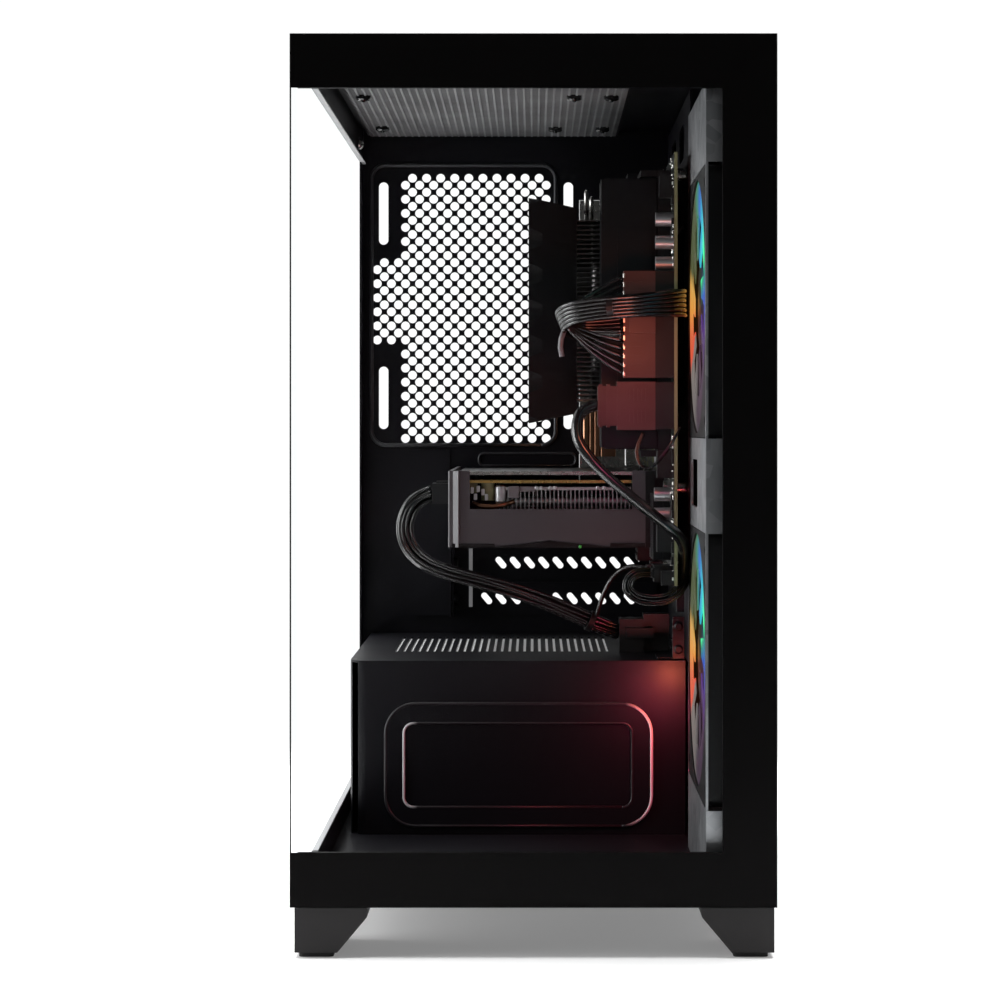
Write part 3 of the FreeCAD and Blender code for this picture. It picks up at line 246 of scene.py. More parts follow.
card_cover = Finish("card_cover", (0.060, 0.054, 0.061), 0.42)
card_cover.set("Roughness", 0.36 + card_cover.noise(40.0) * 0.14)
card_cover.bump(card_cover.noise(1700.0, 2.0), 0.00004, 0.4)

matt_black = Finish("cooler_plastic", (0.005, 0.005, 0.0055), 0.6, Specular_IOR_Level=0.25)
matt_black.set("Roughness", 0.5 + matt_black.noise(50.0) * 0.2)
matt_black.bump(matt_black.noise(1400.0, 2.0), 0.00005, 0.4)

corner_trim = Finish("card_corner", (0.15, 0.145, 0.155), 0.38)
corner_trim.set("Roughness", 0.32 + corner_trim.noise(60.0) * 0.12)
corner_trim.bump(corner_trim.noise(1500.0, 2.0), 0.00004, 0.4)

# Red-brown plug plastic: the tint is partly the plugs' own colour and partly painted glow of the fans' red
# light.
plug_plastic_and_red_glow = Finish("plug_plastic_and_red_glow", (0.085, 0.028, 0.024), 0.42)
plug_plastic_and_red_glow.set("Roughness", 0.36 + plug_plastic_and_red_glow.noise(120.0) * 0.14)
plug_plastic_and_red_glow.bump(plug_plastic_and_red_glow.noise(1600.0, 2.0), 0.00004, 0.4)

key_plastic = Finish("gloss_key", (0.008, 0.008, 0.009), 0.16, Coat_Weight=0.4)
key_plastic.bump(key_plastic.noise(320.0), 0.00003, 0.2)
print("black finishes made")

# %% [markdown]
# ## The bright metals
# The fan bracket is zinc-plated sheet, with soft cloudy crystals. Port shells and screws are nickel,
# fins are bare aluminium with rolling lines, and heatsinks on the board are anodised black. Pipes
# that carry heat are copper under a thin plating.

# %% Metals
zinc = Finish("zinc_sheet", (0.46, 0.47, 0.49), 0.34, Metallic=1.0)
spangle = zinc.node("ShaderNodeTexVoronoi", None, {"Vector": zinc.place(), "Scale": 150.0})
zinc.set("Base Color", zinc.mix(spangle.out("Color"), (0.34, 0.35, 0.37), (0.56, 0.57, 0.59)))
zinc.set("Roughness", 0.26 + zinc.noise(35.0, 4.0) * 0.25)
zinc.bump(zinc.noise(800.0, 2.0), 0.00005, 0.4)

nickel = Finish("nickel", (0.62, 0.61, 0.58), 0.24, Metallic=1.0)
nickel.set("Roughness", 0.16 + nickel.noise(240.0, 3.0) * 0.22)

fin_metal = Finish("fin_aluminium", (0.52, 0.52, 0.53), 0.35, Metallic=1.0)
fin_metal.set("Roughness", 0.26 + fin_metal.noise(60.0, 2.0, (1.0, 22.0, 22.0)) * 0.26)

smoked_fin = Finish("cooler_aluminium", (0.20, 0.19, 0.19), 0.34, Metallic=1.0)
smoked_fin.set("Roughness", 0.28 + smoked_fin.noise(70.0, 2.0, (1.0, 18.0, 1.0)) * 0.24)

anodised = Finish("anodised_black", (0.016, 0.016, 0.018), 0.36, Metallic=0.6)
anodised.set("Roughness", 0.3 + anodised.noise(500.0, 2.0, (1.0, 6.0, 0.2)) * 0.22)
anodised.bump(anodised.noise(1900.0, 1.0), 0.00003, 0.4)

# Painted highlight: the folded rails are made light grey and glow faintly, standing in for the light that the
# black steel folds catch from the open left side.
rail_painted_glow = Finish("folded_edge_painted_glow", (0.34, 0.34, 0.35), 0.45, Emission_Strength=0.16)
rail_painted_glow.set("Emission Color", rail_painted_glow.mix(rail_painted_glow.noise(12.0),
                                                (0.50, 0.50, 0.51), (0.80, 0.80, 0.81)))
rail_painted_glow.set("Roughness", 0.3 + rail_painted_glow.noise(90.0, 2.0, (1.0, 0.1, 1.0)) * 0.2)
rail_painted_glow.bump(rail_painted_glow.noise(900.0), 0.00003, 0.3)

mesh_steel = Finish("vent_steel", (0.24, 0.24, 0.25), 0.4, Metallic=0.3)
mesh_steel.set("Base Color", mesh_steel.mix(mesh_steel.noise(22.0, 3.0),
                                            (0.12, 0.12, 0.125), (0.36, 0.36, 0.37)))
mesh_steel.set("Roughness", 0.34 + mesh_steel.noise(80.0) * 0.2)

# Painted highlight: the pressed beads are the same black steel as their walls, made a lighter grey so that
# they read as lit lines.
bead_painted_highlight = Finish("bead_painted_highlight", (0.06, 0.06, 0.065), 0.26, Metallic=0.5)
bead_painted_highlight.set("Roughness", 0.34 + bead_painted_highlight.noise(20.0) * 0.06)

can_metal = Finish("capacitor_can", (0.66, 0.66, 0.68), 0.3, Metallic=0.9)
can_metal.set("Roughness", 0.24 + can_metal.noise(400.0) * 0.2)

copper = Finish("copper_pipe", (0.42, 0.20, 0.12), 0.28, Metallic=1.0)
copper.set("Base Color", copper.mix(copper.noise(90.0, 3.0), (0.34, 0.15, 0.09), (0.52, 0.28, 0.17)))

gold = Finish("gold_contact", (0.72, 0.48, 0.16), 0.28, Metallic=1.0)
gold.set("Roughness", 0.2 + gold.noise(900.0) * 0.2)
print("metals made")

# %% [markdown]
# ## Circuit board
# A board is glass fibre under a black lacquer. Copper tracks show through as faint raised lines,
# and the cut edge shows the bare olive fibre. The edge is found from the surface normal: the big
# faces point along X, and whatever doesn't is an edge.


# %% Board lacquer with tracks
def lacquered(name, across, face_axis):
    """Board lacquer; across scales the tracks, and face_axis is the axis that the faces point along."""
    made = Finish(name, (0.008, 0.010, 0.009), 0.32, Coat_Weight=0.3)
    where = made.place()
    track = made.node("ShaderNodeTexVoronoi", {"distance": "MANHATTAN", "feature": "F2"},
                      {"Vector": where, "Scale": across})
    lines = made.node("ShaderNodeMath", {"operation": "PINGPONG"}, {0: track.out("Distance") * 9.0, 1: 0.5})
    copper_under = lines < 0.09
    facing = made.split(made.node("ShaderNodeNewGeometry").out("Normal"))["XYZ".index(face_axis)]
    is_edge = made.node("ShaderNodeMath", {"operation": "ABSOLUTE"}, {0: facing}) < 0.5
    face = made.mix(copper_under, (0.007, 0.009, 0.008), (0.016, 0.022, 0.017))
    made.set("Base Color", made.mix(is_edge, face, (0.24, 0.25, 0.13)))
    made.set("Roughness", 0.28 + made.noise(80.0) * 0.16)
    made.bump(lines, 0.00003, 0.5)
    return made


board = lacquered("board_lacquer", 110.0, "X")
card_board = lacquered("card_lacquer", 150.0, "Z")
stick_board = lacquered("drive_lacquer", 160.0, "X")
print("three board lacquers made")

# %% [markdown]
# ## Glass
# The two panes are 3 mm tempered glass. Bending rays through a flat pane only costs noise, so each
# pane is a see-through sheet with a thin gloss over it. A little grey-green is mixed in along the
# cut edges, where real glass gathers its colour.


# %% Clear panes
def pane(name, face_axis, gloss):
    """A clear pane whose big faces point along one axis; gloss scales its mirror image."""
    made = Finish(name, (0.20, 0.24, 0.23), 0.08)
    tree = made.tree
    clear = made.node("ShaderNodeBsdfTransparent", None, {"Color": (0.995, 1.0, 1.0)})
    shine = made.node("ShaderNodeBsdfGlossy", None, {"Color": (1.0, 1.0, 1.0), "Roughness": 0.02})
    layer = made.node("ShaderNodeLayerWeight", None, {"Blend": 0.12}).out("Fresnel")
    body = made.node("ShaderNodeMixShader", None, {0: layer * gloss, 1: clear, 2: shine})
    facing = made.split(made.node("ShaderNodeNewGeometry").out("Normal"))["XYZ".index(face_axis)]
    is_edge = made.node("ShaderNodeMath", {"operation": "ABSOLUTE"}, {0: facing}) < 0.5
    edged = made.node("ShaderNodeMixShader", None, {0: is_edge * 0.04, 1: body})
    tree.links.new(made.shader.outputs[0], edged.node.inputs[2])
    tree.links.new(edged.socket, made.output.inputs[0])
    return made


front_pane = pane("front_pane", "Y", 0.05)
side_pane = pane("side_pane", "X", 0.012)
print("two panes made")

# %% [markdown]
# ## Filter mesh
# The filters are woven nylon in a plastic frame. The weave has to let light
# through, so threads on a 1.1 mm grid stay solid and the gaps between them are cut by alpha.

# %% Woven mesh
mesh_finish = Finish("filter_mesh", (0.014, 0.014, 0.015), 0.6)
mesh_x, mesh_y = mesh_finish.split(mesh_finish.place())[:2]
THREAD_PITCH = 0.0011


def near_thread(along):
    wave = mesh_finish.node("ShaderNodeMath", {"operation": "PINGPONG"}, {0: along, 1: THREAD_PITCH / 2})
    return wave < THREAD_PITCH * 0.19


threads = mesh_finish.node("ShaderNodeMath", {"operation": "MAXIMUM"},
                           {0: near_thread(mesh_x), 1: near_thread(mesh_y)})
mesh_finish.set("Alpha", threads)
mesh_finish.bump(threads, 0.0002, 0.5)
print("threads every", THREAD_PITCH / MM, "mm")

# %% [markdown]
# ## Helpers for new pieces
# Every new piece is written as points and faces. The helpers below turn lists of boxes, rings and
# tubes into one mesh, so that a hundred small parts are still a single piece.


# %% Mesh helpers
def piece(name, points, faces, finish, body="chassis", smooth=False):
    """A new mesh piece that rides on a body and has one finish."""
    mesh = bpy.data.meshes.new(name)
    mesh.from_pydata([tuple(p) for p in points], [], faces)
    mesh.validate()
    mesh.update()
    if smooth:
        mesh.polygons.foreach_set("use_smooth", [True] * len(mesh.polygons))
    made = bpy.data.objects.new(name, mesh)
    bpy.context.scene.collection.objects.link(made)
    mesh.materials.append(finish.material)
    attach(made, body)
    return made


class Heap:
    """Points and faces gathered from many small shapes."""

    def __init__(self):
        self.points = []
        self.faces = []

    def add(self, points, faces):
        start = len(self.points)
        self.points += [Vector(p) for p in points]
        self.faces += [tuple(start + i for i in face) for face in faces]

    def box(self, a, b, chamfer=0.0):
        """A box between two corners in mm, its +-X ends drawn in by a chamfer."""
        (x0, y0, z0), (x1, y1, z1) = a, b
        c = min(chamfer, (x1 - x0) / 3, (y1 - y0) / 3, (z1 - z0) / 3)
        loops = [(x0, c), (x0 + c, 0), (x1 - c, 0), (x1, c)] if c else [(x0, 0), (x1, 0)]
        points = []
        for x, d in loops:
            points += [(x, y0 + d, z0 + d), (x, y1 - d, z0 + d), (x, y1 - d, z1 - d), (x, y0 + d, z1 - d)]
        faces = [(3, 2, 1, 0)]
        for k in range(len(loops) - 1):
            for i in range(4):
                j = (i + 1) % 4
                faces.append((4 * k + i, 4 * k + j, 4 * k + 4 + j, 4 * k + 4 + i))
        last = 4 * (len(loops) - 1)
        faces.append((last, last + 1, last + 2, last + 3))
        self.add([Vector(p) * MM for p in points], faces)

    def lathe(self, centre, axis, profile, sides=24):
        """A turned shape about an axis; profile is a list of (height, radius) in mm."""
        axis = Vector(axis)
        aside = axis.orthogonal().normalized()
        other = axis.cross(aside)
        points = []
        for height, radius in profile:
            for i in range(sides):
                turn = math.tau * i / sides
                spoke = aside * math.cos(turn) + other * math.sin(turn)
                points.append((Vector(centre) + axis * height + spoke * radius) * MM)
        faces = []
        for k in range(len(profile) - 1):
            for i in range(sides):
                j = (i + 1) % sides
                faces.append((k * sides + i, k * sides + j, (k + 1) * sides + j, (k + 1) * sides + i))
        faces.append(tuple(range(sides - 1, -1, -1)))
        faces.append(tuple((len(profile) - 1) * sides + i for i in range(sides)))
        self.add(points, faces)

    def tube(self, line, radius, sides=8):
        """A round tube along points in metres, with closed ends."""
        points = []
        across = (line[1] - line[0]).orthogonal().normalized()
        for i, here in enumerate(line):
            ahead = (line[min(i + 1, len(line) - 1)] - line[max(i - 1, 0)]).normalized()
            across = (across - ahead * across.dot(ahead)).normalized()
            other = ahead.cross(across)
            for k in range(sides):
                turn = math.tau * k / sides
                points.append(here + (across * math.cos(turn) + other * math.sin(turn)) * radius)
        faces = []
        for i in range(len(line) - 1):
            for k in range(sides):
                j = (k + 1) % sides
                faces.append((i * sides + k, i * sides + j, (i + 1) * sides + j, (i + 1) * sides + k))
        faces.append(tuple(range(sides - 1, -1, -1)))
        faces.append(tuple((len(line) - 1) * sides + k for k in range(sides)))
        self.add(points, faces)

    def make(self, name, finish, body="chassis", smooth=False):
        return piece(name, self.points, self.faces, finish, body, smooth)


print("helpers ready")

# %% [markdown]
# ## The harness
# A harness wire has a fixed length and its own stiffness, so it is drawn as a smooth spline whose
# control points are the places a hand would push it to. The board lead is 24 thin wires: each
# follows the same spline at its own offset, fanned flat where it leaves the gap behind the board
# and gathered where it turns. The offsets ride on a frame that is carried along the line without
# twisting.

# %% Routes of the leads
BOARD_LEAD = [
    (70.6, -60.0, 288.0), (69.6, -69.0, 288.0), (60.0, -74.0, 287.0), (44.0, -75.5, 286.0),
    (29.0, -74.0, 285.0), (17.5, -69.0, 283.0), (14.5, -59.5, 279.5), (21.0, -53.0, 276.5),
    (31.0, -52.0, 276.8), (43.2, -52.75, 278.0),
]
USB_LEAD = [
    (30.8, -53.5, 239.5), (23.5, -55.5, 238.0), (20.5, -59.5, 231.0), (20.8, -63.0, 222.5),
    (27.0, -65.5, 213.5), (36.5, -66.5, 204.0), (48.5, -67.5, 194.0), (60.0, -68.2, 184.8),
    (70.4, -65.6, 176.5), (72.4, -57.0, 168.5), (72.2, -47.0, 160.5), (72.3, -38.5, 151.5),
]
CARD_LEAD = [
    (-52.5, 49.0, 194.5), (-60.5, 49.0, 192.0), (-66.0, 48.0, 184.0), (-67.5, 47.0, 174.5),
    (-64.0, 46.0, 165.0), (-55.0, 45.0, 157.5), (-42.0, 44.0, 152.8), (-26.5, 43.5, 149.0),
    (-9.0, 43.5, 143.8), (8.5, 44.0, 137.5), (24.0, 45.0, 130.8), (35.5, 46.5, 125.5), (44.5, 48.5, 122.5),
]
PANEL_LEAD = [
    (69.9, -62.5, 228.5), (66.5, -66.0, 222.5), (61.5, -66.5, 215.5), (56.5, -66.0, 209.5),
    (51.8, -64.8, 209.2), (49.0, -62.6, 214.0), (49.6, -60.2, 220.5), (52.6, -58.8, 226.0),
]
FAN_LEAD = [
    (60.8, 26.0, 156.5), (55.8, 28.0, 157.6), (50.0, 31.0, 157.6), (44.6, 34.0, 155.4),
    (40.4, 36.2, 151.0), (37.4, 38.0, 145.6), (35.2, 39.8, 140.0), (33.6, 41.4, 134.6), (32.8, 42.4, 131.0),
]


def spline(name, route, radius=0.0):
    """A smooth spline with the route's points as its control points."""
    data = bpy.data.curves.new(name, "CURVE")
    data.dimensions = "3D"
    data.resolution_u = 10
    line = data.splines.new("NURBS")
    line.points.add(len(route) - 1)
    for point, place in zip(line.points, route):
        point.co = (*[x * MM for x in place], 1.0)
    line.order_u = 3
    line.use_endpoint_u = True
    data.bevel_depth = radius
    data.bevel_resolution = 5
    data.use_fill_caps = True
    made = bpy.data.objects.new(name, data)
    bpy.context.scene.collection.objects.link(made)
    return made


def followed(name, route):
    """The points along a route's smooth spline, in metres."""
    bare = spline(name + "_line", route)
    bpy.context.view_layer.update()
    mesh = bpy.data.meshes.new_from_object(bare)
    line = [v.co.copy() for v in mesh.vertices]
    bpy.data.objects.remove(bare)
    bpy.data.meshes.remove(mesh)
    return line


def length_of(line):
    return sum((b - a).length for a, b in zip(line, line[1:]))


def carried(line, first):
    """A pair of directions at each point, carried along the line without twisting."""
    across = Vector(first)
    pairs = []
    for i in range(len(line)):
        ahead = (line[min(i + 1, len(line) - 1)] - line[max(i - 1, 0)]).normalized()
        across = (across - ahead * across.dot(ahead)).normalized()
        pairs.append((across.copy(), ahead.cross(across)))
    return pairs


def wires(name, route, spots, radius, first):
    """Thin wires side by side along a route; spots(i, t) is a wire's offset in mm at share t."""
    line = followed(name, route)
    pairs = carried(line, first)
    total = length_of(line)
    heap = Heap()
    count = spots(None, 0.0)
    for i in range(count):
        own = []
        run = 0.0
        for k, here in enumerate(line):
            run += (here - line[k - 1]).length if k else 0.0
            u, v = spots(i, run / total)
            own.append(here + (pairs[k][0] * u + pairs[k][1] * v) * MM)
        heap.tube(own, radius * MM)
    made = heap.make(name + "_strands", insulation, smooth=True)
    print(name, count, "wires,", round(total / MM, 1), "mm")
    return made, line, total


def blend(a, b, t):
    t = max(0.0, min(1.0, t))
    t = t * t * (3 - 2 * t)
    return a + (b - a) * t


# %% The 24-wire board lead
def board_spots(i, t):
    """Eight columns of three wires: flat at the gap, gathered in the turn, spread at the plug."""
    if i is None:
        return 24
    row, column = divmod(i, 4)
    wander = 0.35 * math.sin(1.7 * i + 7.0 * t)
    tall = blend(2.3, 1.75, t * 3.0)
    tall = blend(tall, 2.5, (t - 0.8) * 5.0)
    wide = blend(1.2, 2.0, t * 3.0)
    wide = blend(wide, 1.6, (t - 0.8) * 5.0)
    return ((row - 2.5) * tall + wander * 0.5, (column - 1.5) * wide + wander)


board_lead, board_line, board_length = wires("board_lead", BOARD_LEAD, board_spots, 1.0, (0, 0, 1))

# %% Tails of the board lead that fan out into the plug
tails = Heap()
turn_point = Vector((15.5, -63.0, 280.0))
for i, z in enumerate([254.5, 258.5, 262.5, 266.5, 270.5, 285.5, 289.5, 293.5, 297.5, 301.5]):
    for y in (-55.2, -50.4):
        lift = (z - 278.0) * 0.12
        start = turn_point + Vector((0.0, (y + 52.8) * 0.5, lift))
        reach = Vector((27.0 - i * 0.2, y, 278.0 + (z - 278.0) * 0.62))
        end = Vector((43.6, y, z))
        own = []
        for k in range(13):
            t = k / 12
            own.append((start * (1 - t) ** 2 + reach * 2 * t * (1 - t) + end * t * t) * MM)
        tails.tube(own, 0.95 * MM)
board_tails = tails.make("board_lead_tails", insulation, smooth=True)
print(len(tails.points), "points in the tails")
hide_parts("atx_cable")

# %% The USB lead and the fan lead: one round jacket each
usb_lead = spline("usb_lead", USB_LEAD, 2.7 * MM)
usb_lead.data.materials.append(insulation.material)
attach(usb_lead, "chassis")
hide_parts("usb3_cable")
usb_line = followed("usb_lead", USB_LEAD)

fan_lead = spline("fan_lead", FAN_LEAD, 1.2 * MM)
fan_lead.data.materials.append(insulation.material)
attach(fan_lead, "chassis")
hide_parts("fan_cable")
fan_line = followed("fan_lead", FAN_LEAD)
print("usb lead", round(length_of(usb_line) / MM, 1), "fan lead", round(length_of(fan_line) / MM, 1))


# %% The graphics card's power lead and the thin front panel wires
def card_spots(i, t):
    if i is None:
        return 8
    row, column = divmod(i, 4)
    wander = 0.4 * math.sin(2.3 * i + 9.0 * t)
    wide = blend(2.1, 1.9, t * 2.0)
    return ((row - 0.5) * 2.2 + wander * 0.4, (column - 1.5) * wide + wander)


card_lead, card_line, card_length = wires("card_lead", CARD_LEAD, card_spots, 1.05, (0, 1, 0))
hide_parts("gpu_power_cable")


def panel_spots(i, t):
    if i is None:
        return 4
    return (0.25 * math.sin(3.0 * i + 6.0 * t), (i - 1.5) * blend(0.62, 0.55, t))


panel_lead, panel_line, panel_length = wires("panel_lead", PANEL_LEAD, panel_spots, 0.42, (1, 0, 0))
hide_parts("front_panel_wires")

# %% [markdown]
# ## Rings of light
# Each side fan has a milky ring in its mouth with coloured lamps behind it, and the blades are
# smoky clear plastic that picks the colours up. Nine flat vanes lead the light from the ring
# towards the hub, so the ring and its vanes are one mesh. One colour ramp laid around the fan's
# axis gives every point its lamp's colour.

# %% Colours around a fan
LAMPS = [
    (0.000, (0.55, 0.22, 0.04)), (0.045, (0.48, 0.26, 0.06)), (0.070, (0.05, 0.06, 0.02)),
    (0.200, (0.045, 0.06, 0.025)), (0.250, (0.03, 0.16, 0.09)), (0.309, (0.02, 0.09, 0.36)),
    (0.383, (0.02, 0.42, 0.48)), (0.430, (0.05, 0.78, 0.28)), (0.455, (0.01, 0.20, 0.12)),
    (0.490, (0.02, 0.07, 0.36)), (0.540, (0.06, 0.02, 0.15)), (0.600, (0.035, 0.012, 0.035)),
    (0.750, (0.03, 0.02, 0.03)), (0.800, (0.10, 0.09, 0.085)), (0.900, (0.14, 0.12, 0.11)),
    (0.915, (0.52, 0.06, 0.03)), (0.960, (0.52, 0.10, 0.04)), (1.000, (0.55, 0.22, 0.04)),
]


def around(finish, centre):
    """The lamp colour at a point by its turn about a fan's axis, and the point's Y and Z from it."""
    x, y, z = finish.split(finish.place())
    turn = finish.node("ShaderNodeMath", {"operation": "ARCTAN2"}, {0: z - centre[2], 1: y - centre[1]})
    share = finish.node("ShaderNodeMath", {"operation": "FRACT"}, {0: turn * (1 / math.tau) + 1.0})
    return finish.ramp(share, LAMPS), y - centre[1], z - centre[2]


def lamp_ring(name, centre):
    made = Finish(name, (0.02, 0.02, 0.022), 0.45, Specular_IOR_Level=0.2)
    made.set("Emission Color", around(made, centre)[0])
    made.set("Emission Strength", 1.35)
    made.set("Roughness", 0.35 + made.noise(300.0) * 0.2)
    return made


def smoky_blades(name, centre):
    made = Finish(name, (0.015, 0.015, 0.018), 0.35, Specular_IOR_Level=0.2)
    color, y, z = around(made, centre)
    radius = made.node("ShaderNodeMath", {"operation": "SQRT"}, {0: y * y + z * z})
    outer = made.node("ShaderNodeMapRange", {"clamp": True}, {0: radius, 1: 0.020, 2: 0.057, 3: 0.10, 4: 1.0})
    # Painted glow: the blades emit the ring's colours, more strongly towards the ring, standing in for its
    # light in the smoky plastic.
    made.set("Emission Color", made.mix(outer, (0.0, 0.0, 0.0), color))
    made.set("Emission Strength", 1.2)
    made.set("Roughness", 0.22 + made.noise(120.0) * 0.2)
    return made


FAN_CENTRES = {}
for fan in ("upper", "lower"):
    a, b = (Vector(corner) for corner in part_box(fan + "_fan_frame"))
    FAN_CENTRES[fan] = ((a + b) / 2, a.x)
print({fan: [round(c / MM, 1) for c in centre] for fan, (centre, face) in FAN_CENTRES.items()})

# %% The two rings and their vanes
RING_INNER = 41.0
RING_OUTER = 58.0
VANE_ROOT = 23.0
VANE_BEND = 32.0
VANES = 9
VANE_STEP = 360.0 / VANES
for fan, (centre, face) in FAN_CENTRES.items():
    heap = Heap()
    sides = 96
    middle = (RING_INNER + RING_OUTER) / 2
    half = (RING_OUTER - RING_INNER) / 2
    section = [(half * math.cos(math.tau * k / 10), 0.75 * math.sin(math.tau * k / 10)) for k in range(10)]
    points = []
    faces = []
    for i in range(sides):
        turn = math.tau * i / sides
        for out, along in section:
            r = (middle + out) * MM
            points.append((face + (0.95 + along) * MM,
                           centre.y + r * math.cos(turn), centre.z + r * math.sin(turn)))
        for k in range(10):
            faces.append((i * 10 + k, i * 10 + (k + 1) % 10,
                          ((i + 1) % sides) * 10 + (k + 1) % 10, ((i + 1) % sides) * 10 + k))
    heap.add(points, faces)
    for i in range(VANES):
        outline = []
        for radius, turn in ((VANE_ROOT, -9.0), (VANE_BEND, -2.0), (RING_INNER + 0.5, 3.0),
                             (RING_INNER + 0.5, 22.0), (VANE_BEND, 17.0), (VANE_ROOT, 12.0)):
            turn = math.radians(VANE_STEP * i + turn)
            outline.append((centre.y + radius * MM * math.cos(turn), centre.z + radius * MM * math.sin(turn)))
        levels = (face + 0.6 * MM, face + 1.1 * MM)
        corners = [(level, y, z) for level in levels for y, z in outline]
        sides_of = [(k, (k + 1) % 6, (k + 1) % 6 + 6, k + 6) for k in range(6)]
        heap.add(corners, [tuple(range(5, -1, -1)), tuple(range(6, 12))] + sides_of)
    heap.make(fan + "_light_ring", lamp_ring(fan + "_lamps", centre), smooth=True)
print("two rings of light with", VANES, "vanes each")

# %% [markdown]
# ## Finishes on the frame's own parts
# The frame's solids already have the right shapes, so they only need their finishes. One table
# lists every finish with the parts that have it, and a loop puts them on. The fans' blades get
# theirs after it, because each fan's colours turn about its own axis.

# %% Give every part its finish
FINISHES = {
    powder: ["top_panel", "base_pan", "rear_panel", "slot_covers", "motherboard_tray", "psu_shroud",
             "right_side_panel", "psu_case", "gpu_bracket"],
    border: ["front_frame"],
    front_pane: ["front_glass"],
    side_pane: ["side_glass"],
    zinc: ["side_fan_bracket"],
    nickel: ["glass_studs", "panel_thumbscrews", "board_standoffs", "rear_io_ports", "io_shield",
             "front_ports"],
    card_cover: ["gpu_shroud"],
    matt_black: ["cooler_fan_frame", "cooler_rotor"],
    moulded: ["dimm_slots", "pcie_slots", "board_headers", "gpu_rotor", "psu_rotor", "psu_inlet",
              "gpu_plug", "inline_plug", "upper_fan_frame", "lower_fan_frame", "cable_ties"],
    plug_plastic_and_red_glow: ["atx_plug", "usb3_plug"],
    key_plastic: ["power_button", "reset_button", "psu_switch"],
    charcoal: ["feet"],
    rubber: ["foot_pads"],
    mesh_finish: ["top_filter", "psu_filter"],
    anodised: ["board_heatsinks", "ram_modules", "gpu_backplate"],
    smoked_fin: ["cooler_heatsink"],
    fin_metal: ["gpu_heatsink", "cpu_socket"],
    can_metal: ["board_power_parts", "cmos_battery"],
    board: ["motherboard_pcb"],
    card_board: ["gpu_pcb"],
    stick_board: ["m2_ssd"],
}
for finish, names in FINISHES.items():
    for name in names:
        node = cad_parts[name]
        if not node.material_slots:
            node.data.materials.append(finish.material)
        for holder in node.material_slots:
            holder.material = finish.material
for fan, (centre, face) in FAN_CENTRES.items():
    blades = smoky_blades(fan + "_blades", centre)
    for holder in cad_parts[fan + "_rotor"].material_slots:
        holder.material = blades.material
print(sum(len(names) for names in FINISHES.values()) + 2, "parts have finishes")

# %% [markdown]
# ## Print, rails and pressed edges
# The glass carries a black print on its inner face that hides the frame behind it, right out to
# the left edge. Inside, the sheet metal is folded and pressed to stiffen it: two rails, a bead round the
# rear fan's place, and two beads on the cover over the power supply. The light these folds catch from
# the open left side is painted on as light grey, a faint glow on the rails and a highlight at one end of each
# cover bead.


# %% Black print on the glass
def span(name):
    """A part's lowest and highest corners in mm."""
    return [[c / MM for c in corner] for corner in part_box(name)]


glass_low, glass_high = span("front_glass")
WINDOW = {"right": 81.5, "low": 45.7, "high": 375.1}
PRINT_LINE = 0.65
print_y = (glass_high[1] - 0.12, glass_high[1] - 0.02)
print_bands = Heap()
for x0, x1, z0, z1 in (
    (glass_low[0], glass_high[0], WINDOW["high"], glass_high[2]),
    (glass_low[0], glass_high[0], glass_low[2], WINDOW["low"]),
    (WINDOW["right"], glass_high[0], WINDOW["low"], WINDOW["high"]),
    (glass_low[0], glass_low[0] + PRINT_LINE, WINDOW["low"], WINDOW["high"]),
):
    print_bands.box((x0, print_y[0], z0), (x1, print_y[1], z1))
print_bands.make("glass_print", border)
print("glass", [round(b - a, 1) for a, b in zip(glass_low, glass_high)], "mm, printed on its inner face")


# %% Folded rails, beads and the cover's outline
def loop(x0, x1, z0, z1, radius, y, corner=10):
    """Points round a rectangle with round corners on a wall that faces the front, in metres."""
    points = []
    for cx, cz, start in ((x1 - radius, z0 + radius, -90), (x1 - radius, z1 - radius, 0),
                          (x0 + radius, z1 - radius, 90), (x0 + radius, z0 + radius, 180)):
        for i in range(corner + 1):
            turn = math.radians(start + 90 * i / corner)
            points.append(Vector((cx + radius * math.cos(turn), y, cz + radius * math.sin(turn))) * MM)
    return points + [points[0]]


rear_low, rear_high = span("rear_panel")
cover_front = span("psu_shroud")[0][1] + 0.5
rails = Heap()
for z in (378.2, 41.5):
    rails.box((-97.6, -150.0, z), (-95.2, rear_low[1] + 11.0, z + 0.7))
rails.box((-36.6, rear_high[1] - 4.6, 127.0), (-34.6, rear_high[1] - 2.6, 160.0))
rails.make("folded_rails", rail_painted_glow)
beads = Heap()
beads.tube(loop(-92.0, 12.6, 218.7, 377.9, 8.0, rear_high[1] - 1.2), 1.2 * MM)
beads.tube(loop(-31.0, 24.0, 207.0, 214.0, 3.0, rear_high[1] - 1.2), 0.8 * MM)
beads.make("rear_beads", bead_painted_highlight, smooth=True)


def lit_edge(name, dark_x, bright_x):
    """A pressed edge with a painted highlight towards one end of the case's width, both ends in metres."""
    made = Finish(name, (0.1, 0.1, 0.1), 0.32)
    x = made.split(made.place())[0]
    painted_highlight_share = made.node("ShaderNodeMapRange", {"clamp": True}, {0: x, 1: dark_x, 2: bright_x, 3: 0.0, 4: 1.0})
    # Painted highlight: near black at the shaded end, light grey at the end that faces the light.
    made.set("Base Color", made.mix(painted_highlight_share, (0.020, 0.018, 0.021), (0.78, 0.78, 0.80)))
    made.set("Roughness", 0.28 + made.noise(40.0) * 0.1)
    return made


